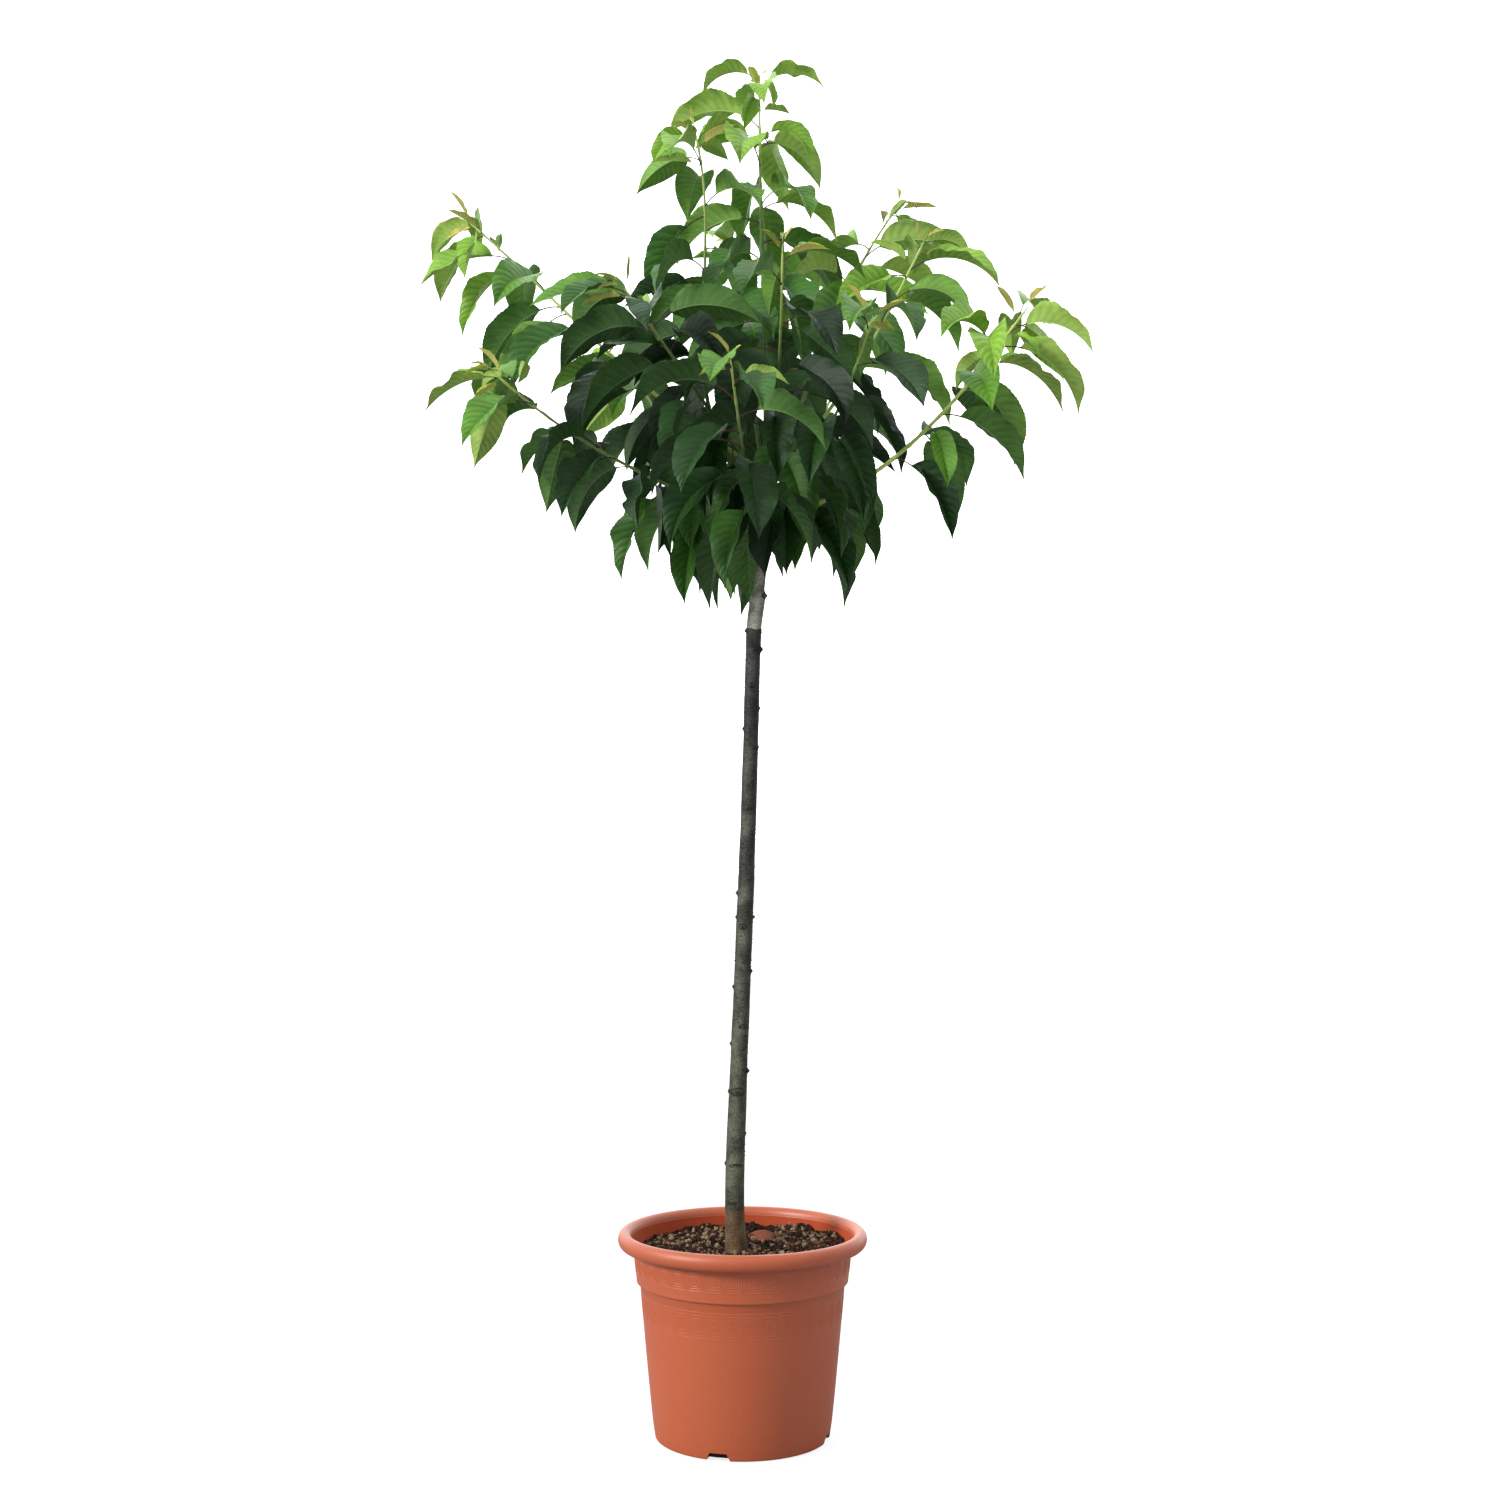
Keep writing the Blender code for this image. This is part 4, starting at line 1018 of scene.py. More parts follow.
def studio():
    """Camera at the photo's place, one soft key from the upper left, an even white room and a pale floor."""
    data = bpy.data.cameras.new("camera")
    data.lens = CAMERA_LENS
    data.sensor_width = CAMERA_SENSOR
    camera = bpy.data.objects.new("camera", data)
    camera.location = CAMERA_PLACE
    camera.rotation_euler = (CAMERA_TILT, 0, 0)
    bpy.context.scene.collection.objects.link(camera)
    bpy.context.scene.camera = camera

    sun = bpy.data.lights.new("key", "SUN")
    sun.energy = KEY_STRENGTH
    sun.angle = KEY_SOFTNESS
    sun.color = KEY_COLOUR
    key = bpy.data.objects.new("key", sun)
    level = math.cos(KEY_RISE)
    key.rotation_euler = Vector((math.sin(KEY_ASIDE) * level, math.cos(KEY_ASIDE) * level,
                                 -math.sin(KEY_RISE))).to_track_quat("-Z", "Y").to_euler()
    bpy.context.scene.collection.objects.link(key)

    world = bpy.data.worlds.new("white room")
    bpy.context.scene.world = world
    world.use_nodes = True
    tree = world.node_tree
    background = tree.nodes["Background"]
    seen = node(tree, "LightPath").outputs["Is Camera Ray"]
    tree.links.new(mix(tree, seen, ROOM_COLOUR, (1, 1, 1, 1)), background.inputs["Color"])
    _, away, rise = node(tree, "SeparateXYZ", {0: node(tree, "TexCoord").outputs["Generated"]}).outputs
    backdrop = maths(tree, "MULTIPLY", maths(tree, "POWER", maths(tree, "MAXIMUM", away, 0.0), 2.0), ROOM_BACK)
    lit = maths(tree, "ADD", ramp(tree, rise, 0.0, 1.0, ROOM_LOW, ROOM_HIGH), backdrop)
    tree.links.new(maths(tree, "MAXIMUM", lit, maths(tree, "MULTIPLY", seen, ROOM_SEEN)), background.inputs["Strength"])

    deselect()
    bpy.ops.mesh.primitive_plane_add(size=40, location=(0, 0, -0.0006))
    floor = bpy.context.object
    floor.name = "floor"
    mat, tree, shader = blank("pale floor", 0.9)
    shader.inputs["Base Color"].default_value = (FLOOR_TONE, FLOOR_TONE, FLOOR_TONE, 1)
    shader.inputs["Emission Color"].default_value = (1, 1, 1, 1)
    seen = node(tree, "LightPath").outputs["Is Camera Ray"]
    tree.links.new(maths(tree, "MULTIPLY", seen, FLOOR_SEEN), shader.inputs["Emission Strength"])
    floor.data.materials.append(mat)
    bpy.context.scene.view_settings.view_transform = "Standard"


# Pot

def body_radius(height):
    """Outer radius of the pot's body, which opens a little faster near the base."""
    share = (height / STEP_HEIGHT) ** BODY_FLARE
    return BASE_RADIUS + (BODY_TOP_RADIUS - BASE_RADIUS) * share


def collar_radius(height):
    """Outer radius of the collar above the step."""
    share = (height - STEP_HEIGHT - STEP_RISE) / (COLLAR_TOP - STEP_HEIGHT - STEP_RISE)
    return COLLAR_RADIUS + (COLLAR_TOP_RADIUS - COLLAR_RADIUS) * share


def wall_radius(height):
    """Outer radius of the wall at a height, on the body or on the collar."""
    return body_radius(height) if height < STEP_HEIGHT else collar_radius(height)


def turned(name, profile, segments):
    """Model a round solid as by hand: a circle, extruded ring by ring along a profile, closed at its ends."""
    deselect()
    radius, height = profile[0]
    bpy.ops.mesh.primitive_circle_add(vertices=segments, radius=radius, location=(0, 0, 0))
    obj = bpy.context.object
    obj.name = name
    bpy.ops.object.mode_set(mode="EDIT")
    bpy.ops.mesh.select_all(action="SELECT")
    bpy.ops.transform.translate(value=(0, 0, height))
    for next_radius, next_height in profile[1:]:
        bpy.ops.mesh.extrude_edges_move(TRANSFORM_OT_translate={"value": (0, 0, next_height - height)})
        share = next_radius / radius
        bpy.ops.transform.resize(value=(share, share, 1), center_override=(0, 0, next_height))
        radius, height = next_radius, next_height
    bpy.ops.mesh.select_all(action="SELECT")
    bpy.ops.mesh.fill_holes(sides=0)
    bpy.ops.mesh.select_all(action="SELECT")
    bpy.ops.mesh.normals_make_consistent(inside=False)
    bpy.ops.object.mode_set(mode="OBJECT")
    return obj


def arc(centre, radii, first, last, count):
    """Points round an arc, level and upright radii given, as (radius, height)."""
    for step in range(count + 1):
        turn = math.radians(first + (last - first) * step / count)
        yield centre[0] + radii[0] * math.cos(turn), centre[1] + radii[1] * math.sin(turn)


def pot_profile():
    """The pot's line from the underside, up the outside, over the rolled rim and down the inside."""
    fillet = (BASE_RADIUS - BASE_FILLET, BASE_FILLET)
    line = [(BASE_RADIUS - 0.012, 0)] + list(arc(fillet, (BASE_FILLET, BASE_FILLET), -90, 0, 4))
    line += [(body_radius(STEP_HEIGHT * share), STEP_HEIGHT * share) for share in (0.1, 0.2, 0.35, 0.55, 0.78, 1)]
    step_top = STEP_HEIGHT + STEP_RISE
    line += [(COLLAR_RADIUS - LEDGE, step_top - 0.0012), (COLLAR_RADIUS - LEDGE + 0.0006, step_top - 0.0006)]
    line += [(COLLAR_RADIUS - 0.0003, step_top - 0.0006), (COLLAR_RADIUS, step_top - 0.0002), (COLLAR_RADIUS, step_top + 0.0008)]
    line += [(COLLAR_TOP_RADIUS, COLLAR_TOP)]
    line += list(arc((RIM_RADIUS - ROLL_WIDE, POT_HEIGHT - ROLL_TALL), (ROLL_WIDE, ROLL_TALL), -135, 180, 30))
    inner = [(COLLAR_TOP_RADIUS, COLLAR_TOP), (COLLAR_RADIUS, STEP_HEIGHT + STEP_RISE), (BODY_TOP_RADIUS, STEP_HEIGHT)]
    inner += [(body_radius(STEP_HEIGHT * share), STEP_HEIGHT * share) for share in (0.55, 0.2)]
    line += [(radius - WALL, height) for radius, height in inner]
    return line + [(body_radius(FLOOR) - WALL, FLOOR), (BASE_RADIUS * 0.5, FLOOR)]


def notch_cutter(turn):
    """A block for one drainage notch, wider at the ground than at its top."""
    deselect()
    bpy.ops.mesh.primitive_cube_add(size=1)
    cutter = bpy.context.object
    for vert in cutter.data.vertices:
        top = vert.co.z > 0
        width = NOTCH_WIDTH - NOTCH_TAPER if top else NOTCH_WIDTH + NOTCH_TAPER
        height = NOTCH_HEIGHT if top else -NOTCH_HEIGHT
        vert.co = (BASE_RADIUS + vert.co.x * 2 * NOTCH_DEPTH, vert.co.y * width, height)
    cutter.data.transform(Matrix.Rotation(turn, 4, "Z"))
    return cutter


def make_pot(finish, inside):
    """The moulded pot with its rolled rim, stepped collar and drainage notches, duller inside, where it is also painted
    darker and redder as painted shade.
    """
    pot = turned("pot_shell", pot_profile(), POT_SEGMENTS)
    for index in range(NOTCH_COUNT):
        cutter = notch_cutter(NOTCH_FIRST + index * math.tau / NOTCH_COUNT)
        deselect()
        bpy.context.view_layer.objects.active = pot
        cut = pot.modifiers.new("notch", "BOOLEAN")
        cut.operation = "DIFFERENCE"
        cut.solver = "EXACT"
        cut.object = cutter
        bpy.ops.object.modifier_apply(modifier=cut.name)
        bpy.data.objects.remove(cutter, do_unlink=True)
    pot.data.materials.append(finish)
    pot.data.materials.append(inside)
    # painted shade: the inner wall takes the darker, redder inside finish
    for face in pot.data.polygons:
        inward = face.normal.x * face.center.x + face.normal.y * face.center.y < 0
        if inward and FLOOR < face.center.z < POT_HEIGHT - ROLL_TALL and face.center.xy.length < COLLAR_TOP_RADIUS:
            face.material_index = 1
    pot.data.shade_smooth()
    pot.data.set_sharp_from_angle(angle=math.radians(38))
    ride(pot, "pot", "pot")


def key_line():
    """Points along one spiral, close enough to follow the wall, and the way that each corner's mitre runs."""
    corners = [Vector(point) for point in KEY_PATH]
    points = []
    for a, b in zip(corners, corners[1:]):
        count = math.ceil((b - a).length / KEY_STEP)
        points += [a.lerp(b, step / count) for step in range(count)]
    points.append(corners[-1])
    mitres = []
    for index, point in enumerate(points):
        before = (point - points[index - 1]).normalized() if index else (points[1] - points[0]).normalized()
        after = (points[index + 1] - point).normalized() if index < len(points) - 1 else before
        left = Vector((-before.y, before.x)) + Vector((-after.y, after.x))
        mitres.append(left / (1 + before.dot(after)))
    return points, mitres


def make_ornament(finish):
    """Bands of moulded spirals round the pot, slightly proud of its wall."""
    heap = Heap()
    points, mitres = key_line()
    count = len(points)
    faces = [(4 * i + k, 4 * i + 4 + k, 4 * i + 4 + (k + 1) % 4, 4 * i + (k + 1) % 4)
             for i in range(count - 1) for k in range(4)]
    faces += [(0, 1, 2, 3), tuple(4 * (count - 1) + k for k in (3, 2, 1, 0))]
    for foot, pitch, relief in KEY_BANDS:
        lines = ((KEY_WIDE, -KEY_SUNK), (KEY_NARROW, relief), (-KEY_NARROW, relief), (-KEY_WIDE, -KEY_SUNK))
        for number in range(KEY_COUNT):
            verts = []
            for point, mitre in zip(points, mitres):
                for aside, proud in lines:
                    at = point + mitre * aside
                    turn = math.tau * (number + at.x / KEY_UNITS) / KEY_COUNT
                    level = foot + at.y * pitch
                    radius = wall_radius(level) + proud
                    verts.append((radius * math.cos(turn), radius * math.sin(turn), level))
            heap.add(verts, faces)
    ride(heap.piece("pot_ornament", [finish], sharp=75), "pot")


# Soil

def soil_height(x, y):
    """Height of the soil: level round the stem, then heaped towards the back right."""
    radius = math.hypot(x, y)
    reach = COLLAR_TOP_RADIUS - WALL
    out = max(0.0, (radius - SOIL_LEVEL_RADIUS) / (reach - SOIL_LEVEL_RADIUS))
    side = 0.5 + 0.5 * math.cos(math.atan2(y, x) - SOIL_HEAP_HEADING)
    return SOIL_TOP + SOIL_HEAP * math.sin(math.pi * min(1.0, out) * 0.62) * (0.25 + 0.75 * side ** 2)


def soil_rough(x, y):
    """Height of the soil with its clods."""
    clods = noise.fractal(Vector((x, y, 0.3)) * 62, 0.55, 2.1, 5)
    heaps = noise.noise(Vector((x, y, 1.7)) * 27)
    hollow = math.exp(-((x - HOLLOW[0]) ** 2 + (y - HOLLOW[1]) ** 2) / HOLLOW[2] ** 2)
    return soil_height(x, y) + 0.0052 * clods + 0.0050 * heaps - 0.008 * hollow


def make_soil(finish):
    """The soil in the pot, cloddy on top."""
    edge = collar_radius(SOIL_TOP) - WALL - GAP
    below = [(body_radius(STEP_HEIGHT * share) - WALL - GAP, STEP_HEIGHT * share) for share in (0.2, 0.55, 1)]
    profile = [(BASE_RADIUS * 0.5, FLOOR + GAP), (body_radius(FLOOR) - WALL - GAP, FLOOR + GAP)] + below
    profile += [(COLLAR_RADIUS - WALL - GAP, STEP_HEIGHT + STEP_RISE)]
    profile += [(edge * (1 - ring / SOIL_RINGS) + 0.002, SOIL_TOP) for ring in range(SOIL_RINGS + 1)]
    soil = turned("soil_bed", profile, SOIL_SEGMENTS)
    for vert in soil.data.vertices:
        if vert.co.z > SOIL_TOP - GAP:
            vert.co.z = soil_rough(vert.co.x, vert.co.y)
            if math.hypot(vert.co.x, vert.co.y) > edge:
                vert.co.x *= edge / (edge + 0.002)
                vert.co.y *= edge / (edge + 0.002)
    soil.data.materials.append(finish)
    soil.data.shade_smooth()
    ride(soil, "soil", "soil")


Grit = namedtuple("Grit", "name count sizes colour seed detail bed")
GRITS = (
    Grit("granules_cream", 200, (0.0019, 0.0055), (156, 134, 106), 11, 2, 0.0),
    Grit("granules_tan", 230, (0.0017, 0.0050), (140, 104, 74), 12, 2, 0.06),
    Grit("granules_brown", 150, (0.0018, 0.0044), (98, 60, 38), 13, 2, 0.35),
    Grit("granules_grey", 90, (0.0016, 0.0042), (118, 104, 82), 14, 2, 0.0),
    Grit("clods", 420, (0.0018, 0.0062), (50, 30, 20), 16, 2, 0.8),
    Grit("crumbs", 3600, (0.0006, 0.0021), (54, 32, 21), 15, 1, 1.0),
)
SOIL_COLOUR = (42, 25, 16)
GRAVEL = ((-0.098, 0.045, 0.036), (-0.060, 0.015, 0.022), (-0.037, 0.095, 0.026), (-0.016, -0.030, 0.040),
          (0.050, -0.035, 0.036), (0.088, 0.030, 0.036), (0.078, 0.098, 0.034), (0.118, 0.080, 0.026))   # x, y, radius
HOLLOW = (0.030, 0.116, 0.024)          # dark dip behind the shard: x, y and radius
SHARD_PLACE = (0.029, 0.060)
SHARD_CLEAR = 0.012


def gravelled(x, y, bed):
    """How likely a granule of a kind lies at a place: 1 in the gravel's patches, and bed outside them."""
    patch = max(math.exp(-((x - a) ** 2 + (y - b) ** 2) / radius ** 2) for a, b, radius in GRAVEL)
    return max(bed, min(1.0, 1.5 * patch))


def rock_shape(detail):
    """Vertices and faces of a ball with few faces."""
    bm = bmesh.new()
    bmesh.ops.create_icosphere(bm, subdivisions=detail, radius=1)
    verts = np.array([vert.co[:] for vert in bm.verts])
    faces = np.array([[vert.index for vert in face.verts] for face in bm.faces])
    bm.free()
    return verts, faces


def make_grit(grit, finish, taken):
    """Granules of one kind, strewn over the soil clear of each other and of the stem's foot."""
    rng = random.Random(grit.seed)
    ball, faces = rock_shape(grit.detail)
    heap = Heap()
    foot = stem_at(SOIL_TOP)
    reach = collar_radius(SOIL_TOP) - WALL - 0.004
    for _ in range(grit.count * 8):
        if len(heap.verts) == grit.count:
            break
        size = rng.uniform(*grit.sizes)
        radius = (reach - size) * math.sqrt(rng.random())
        turn = rng.uniform(0, math.tau)
        x, y = radius * math.cos(turn), radius * math.sin(turn)
        if math.hypot(x - foot.x, y) < 0.0155 + 0.45 * size:
            continue
        if rng.random() > gravelled(x, y, grit.bed) or math.dist((x, y), SHARD_PLACE) < SHARD_CLEAR:
            continue
        if grit.bed < 0.7 and math.dist((x, y), HOLLOW[:2]) < HOLLOW[2]:
            continue
        if grit.detail > 1:
            if any(math.dist((x, y), other[:2]) < (size + other[2]) * 0.74 for other in taken):
                continue
            taken.append((x, y, size))
        scale = np.array([rng.uniform(0.85, 1.35), rng.uniform(0.7, 1.1), rng.uniform(0.55, 0.9)]) * size
        rock = ball * np.array([[rng.uniform(0.9, 1.08)] for _ in ball])
        for _ in range(7):
            way = unit(np.array([rng.gauss(0, 1) for _ in range(3)]))
            rock = rock - np.clip(rock @ way - rng.uniform(0.4, 0.85), 0, None)[:, None] * way
        spin = np.array(Matrix.Rotation(rng.uniform(0, math.tau), 3, (rng.random(), rng.random(), rng.random() + 0.1)))
        level = soil_rough(x, y) + size * rng.uniform(0.0, 0.4)
        heap.add((rock * scale) @ spin.T + np.array((x, y, level)), faces)
    ride(heap.piece(grit.name, [finish], sharp=40), "soil")


def make_shard(finish):
    """A curved shard of fired clay, half sunk in the soil behind the stem."""
    deselect()
    bpy.ops.mesh.primitive_grid_add(x_subdivisions=14, y_subdivisions=8, size=1)
    shard = bpy.context.object
    shard.name = "clay_shard"
    for vert in shard.data.vertices:
        x, y = vert.co.x, vert.co.y
        ragged = 1 + 0.10 * noise.noise(Vector((x * 4, y * 4, 5)))
        vert.co = (x * 0.040 * ragged, y * 0.027 * ragged, -0.35 * (x * 0.05) ** 2 / 0.03)
    thick = shard.modifiers.new("thick", "SOLIDIFY")
    thick.thickness = 0.004
    bpy.ops.object.modifier_apply(modifier=thick.name)
    edge = shard.modifiers.new("worn", "BEVEL")
    edge.width = 0.0008
    edge.segments = 2
    bpy.ops.object.modifier_apply(modifier=edge.name)
    x, y = SHARD_PLACE
    turn = Matrix.Rotation(math.radians(6), 4, "Z") @ Matrix.Rotation(math.radians(20), 4, "X")
    shard.data.transform(Matrix.Translation((x, y, soil_rough(x, y) + 0.0030)) @ turn)
    shard.data.materials.append(finish)
    shard.data.shade_smooth()
    shard.data.set_sharp_from_angle(angle=math.radians(40))
    ride(shard, "pot")


# Stem

def bark_relief(height, turn, radius):
    """How far the bark stands off the stem's even surface, and how much of a scar is there."""
    around = Vector((math.cos(turn), math.sin(turn), 0))
    place = around * radius + UP * height
    wrinkles = noise.noise(Vector((place.x * 130, place.y * 130, place.z * 420)))
    swell = noise.noise(Vector((place.x * 34, place.y * 34, place.z * 22)))
    relief = 0.00020 * wrinkles + 0.00050 * swell
    relief += FLUTE * math.exp(-(height - SOIL_TOP) / 0.018) * math.sin(3 * turn + 0.7)
    scar = 0.0
    for knob in KNOBS:
        up = (height - knob.height) / knob.high
        if abs(up) < 3:
            aside = math.remainder(turn - math.radians(knob.heading), math.tau) * radius / knob.wide
            far = aside * aside + up * up
            ring = math.exp(-((math.sqrt(far) - SCAR_RING) / SCAR_NARROW) ** 2)
            relief += knob.proud * (math.exp(-far) - knob.dimple * 0.4 * math.exp(-far * 7)) - SCAR_SUNK * ring
            scar = max(scar, 0.8 * math.exp(-far * 1.6), ring)
    return relief, scar


def make_stem(finish):
    """The stem's bark: flared foot, bud scars, the swelling of the graft and the head."""
    deselect()
    low, high = STEM_STATIONS[0][0], STEM_STATIONS[-1][0]
    bpy.ops.mesh.primitive_cylinder_add(vertices=STEM_SIDES, radius=0.01, depth=high - low, end_fill_type="NGON",
                                        location=(0, 0, (high + low) / 2))
    stem = bpy.context.object
    stem.name = "stem_surface"
    bpy.ops.object.transform_apply(location=True)
    bpy.ops.object.mode_set(mode="EDIT")
    for pieces in STEM_RINGS:
        bpy.ops.mesh.select_all(action="DESELECT")
        bm = bmesh.from_edit_mesh(stem.data)
        for edge in bm.edges:
            edge.select_set(abs(edge.verts[0].co.z - edge.verts[1].co.z) > 0.01)
        bmesh.update_edit_mesh(stem.data)
        bpy.ops.mesh.subdivide(number_cuts=pieces - 1)
    bpy.ops.object.mode_set(mode="OBJECT")
    heights, leans, _ = zip(*STEM_STATIONS)
    marks, radii = zip(*BARK_STATIONS)
    for label in ("scar", "weathered"):
        stem.data.attributes.new(label, "FLOAT", "POINT")
    scars = stem.data.attributes["scar"].data
    weathered = stem.data.attributes["weathered"].data
    for vert in stem.data.vertices:
        height = vert.co.z
        turn = math.atan2(vert.co.y, vert.co.x)
        edge = height + GRAFT_SLANT * math.sin(2 * turn + 0.6)
        radius = float(smooth(marks, radii, edge))
        relief, scar = bark_relief(height, turn, radius)
        scars[vert.index].value = scar
        # painted light: how much of the lit side's paler paint this point takes
        weathered[vert.index].value = max(0.0, math.cos(turn - PAINTED_LIGHT_HEADING)) ** PAINTED_LIGHT_NARROW
        vert.co.x = float(smooth(heights, leans, height)) + (radius + relief) * math.cos(turn)
        vert.co.y = (radius + relief) * math.sin(turn)
    stem.data.materials.append(finish)
    stem.data.shade_smooth()
    stem.data.set_sharp_from_angle(angle=math.radians(60))
    ride(stem, "stem_bark", "stem")


def on_bark(height, turn):
    """A point on the bark, and the ways out of it, round it and up it."""
    heights, leans, _ = zip(*STEM_STATIONS)
    radius = float(smooth(*zip(*BARK_STATIONS), height))
    out = Vector((math.cos(turn), math.sin(turn), 0))
    foot = Vector((float(smooth(heights, leans, height)), 0, height)) + out * radius
    return foot, np.array((out, UP.cross(out), UP))


def make_buds(finish):
    """Dry buds in the scars of the stem, and the corky pores that dot its bark."""
    rng = random.Random(23)
    heap = Heap()
    bud, bud_faces = rock_shape(2)
    for knob in KNOBS:
        foot, ways = on_bark(knob.height, math.radians(knob.heading))
        size = np.array((0.6 * knob.proud + 0.0007, BUD_WIDE, BUD_TALL)) * rng.uniform(0.85, 1.15)
        size *= min(1.0, 0.35 + knob.proud / 0.0045)
        lumps = np.array([[rng.uniform(0.85, 1.1)] for _ in bud])
        heap.add((bud * lumps * size) @ ways + np.array(foot) + ways[0] * 0.12 * knob.proud, bud_faces)
    pore, pore_faces = rock_shape(2)
    for _ in range(PORE_COUNT):
        turn = rng.uniform(0, math.tau)
        height = rng.uniform(0.30, GRAFT - 0.01)
        for step in range(rng.randint(1, 5)):
            foot, ways = on_bark(min(GRAFT - 0.005, height + step * rng.uniform(0.006, 0.014)), turn + rng.uniform(-0.2, 0.2))
            size = rng.uniform(*PORE_SIZES)
            heap.add((pore * np.array((0.5, 1.15, 0.9)) * size) @ ways + np.array(foot), pore_faces)
    ride(heap.piece("stem_buds", [finish], sharp=80), "stem_bark", "stem")


def stem_material(group):
    """Grey bark, darker below the graft, brown at the foot and in its scars, pale and smooth above the graft; with
    painted light, paler on the side towards the key light and darker round the rest.
    """
    mat, tree, shader = blank("grey bark", 0.8)
    shader.inputs["Specular IOR Level"].default_value = 0.3
    place = node(tree, "TexCoord").outputs["Object"]
    height = node(tree, "SeparateXYZ", {0: place}).outputs[2]
    tone = ramp(tree, height, 0.45, 1.05)
    grey = mix(tree, tone, colour(58, 63, 53), colour(31, 33, 32))
    light = mix(tree, tone, colour(105, 108, 92), colour(71, 73, 71))
    lower = place_group(tree, group, {"Place": place, "Base": grey, "Patch": light, "Pore": colour(40, 36, 30),
                                      "Pore Share": 0.5, "Gloss": 0.55})
    upper = place_group(tree, group, {"Place": place, "Base": colour(130, 128, 118), "Patch": colour(186, 184, 174),
                                      "Pore": colour(84, 76, 70), "Pore Share": 0.5, "Gloss": 0.55})
    foot = place_group(tree, group, {"Place": place, "Base": colour(92, 72, 52), "Patch": colour(124, 106, 82),
                                     "Pore": colour(56, 42, 32), "Pore Share": 0.45, "Gloss": 0.85})
    ragged = node(tree, "TexNoise", {0: place, "Scale": 60.0, "Detail": 3.0}).outputs[0]
    ragged = maths(tree, "ADD", height, ramp(tree, ragged, 0.3, 0.7, -0.004, 0.004))
    blended = mix(tree, ramp(tree, ragged, GRAFT - 0.001, GRAFT + 0.001), lower.outputs["Color"], upper.outputs["Color"])
    blended = mix(tree, ramp(tree, height, 0.3145, 0.3165, 1.0, 0.0), blended, foot.outputs["Color"])
    # Painted light: paler paint on the side towards the key light, darker paint round the rest, growing above the foot
    pale = node(tree, "Attribute", attribute_name="weathered").outputs["Fac"]
    pale = maths(tree, "MULTIPLY", pale, ramp(tree, lower.outputs["Height"], 0.3, 0.7, 0.6, 1.1))
    dull = mix(tree, 1.0, blended, (0.58, 0.58, 0.58, 1), "MULTIPLY")
    painted_lit = mix(tree, 1.0, blended, (1.5, 1.48, 1.44, 1), "MULTIPLY")
    blended = mix(tree, ramp(tree, height, 0.32, 0.55, 0.35, 1.0), blended, mix(tree, pale, dull, painted_lit))
    grain = node(tree, "TexNoise", {0: place, "Scale": 620.0, "Detail": 3.0}).outputs[0]
    speckled = mix(tree, ramp(tree, grain, 0.36, 0.64), (0.62, 0.62, 0.62, 1), (1.34, 1.33, 1.30, 1))
    blended = mix(tree, 1.0, blended, speckled, "MULTIPLY")
    scar = node(tree, "Attribute", attribute_name="scar").outputs["Fac"]
    patchy = ramp(tree, node(tree, "TexNoise", {0: place, "Scale": 210.0, "Detail": 3.0}).outputs[0], 0.4, 0.6)
    scarred = mix(tree, patchy, colour(18, 16, 13), colour(58, 52, 38))
    blended = mix(tree, ramp(tree, scar, 0.2, 0.7, 0.0, 0.9), blended, scarred)
    tree.links.new(blended, shader.inputs["Base Color"])
    tree.links.new(lower.outputs["Roughness"], shader.inputs["Roughness"])
    relief = node(tree, "Bump", {"Strength": 0.5, "Distance": 0.0012, "Height": lower.outputs["Height"]})
    tree.links.new(relief.outputs["Normal"], shader.inputs["Normal"])
    return mat


# Crown

Tint = namedtuple("Tint", "name top under vein")
# Leaf tints from dark to bright, then young: which of the first five a plain leaf takes is painted light and shade
TINTS = (
    Tint("dark", (20, 53, 16), (42, 79, 32), (86, 124, 64)),
    Tint("deep", (34, 76, 25), (56, 99, 37), (104, 146, 70)),
    Tint("mid", (63, 118, 37), (86, 138, 54), (150, 188, 94)),
    Tint("bright", (105, 167, 48), (126, 180, 70), (188, 219, 112)),
    Tint("fresh", (153, 207, 68), (176, 215, 96), (220, 237, 132)),
    Tint("young", (206, 226, 84), (230, 220, 112), (244, 236, 150)),
)
YOUNG = 5
# Shoots whose bark is painted pale all the way up, as painted light where the key light falls along them
PAINTED_PALE_SHOOTS = {"right_low": 1.0, "right_middle": 0.9, "far_left": 0.8, "left_low": 0.3, "right_upper": 0.2}
# Painted light on the leaves: how brightly the lowest leaves are painted, and how much brighter than its place says a
# limb's leaves are painted
LOW_LIGHT = 1.6
LIMB_PAINTED_LIGHT = {"leader": 1.8, "far_left": -0.4, "right_low": 1.0, "right_middle": 0.9, "right_upper": 1.1,
          "upright_front": -0.6, "left_middle": -0.6, "front_right": -0.4}


def tint_of(name, share, root, rng):
    """Which tint a leaf takes: dark on the spurs and low inside, bright high up, far out and near a tip. This is
    painted light and shade, save that near a tip the lighter tint also follows the leaf's youth.
    """
    reach = math.hypot(root.x - CROWN_MIDDLE, root.y)
    light = 2.0 * share + 3.0 * (root.z - 1.54) / 0.4 + 2.8 * (reach - 0.12) / 0.3 + 5 * max(0, root.z - 1.68)
    low = LOW_LIGHT * max(0.0, 1.5 - root.z) / 0.25
    return int(min(4, max(0, round(max(low, light + LIMB_PAINTED_LIGHT.get(name, 0)) + rng.uniform(-0.9, 1.0)))))


def shoot_end(line, placed):
    """How far a fine shoot runs: short of its young leaves' tips, but past its last plain leaf."""
    marks = np.linspace(0, line.length, 400)
    points = np.array([line.at(mark)[:] for mark in marks])
    roots = [leaf.root for leaf, share in placed if share <= TIP_FROM]
    last = max(marks[np.linalg.norm(points - np.array(root), axis=1).argmin()] for root in roots)
    return min(line.length, max(line.length - TIP_CUT, last + 0.004))


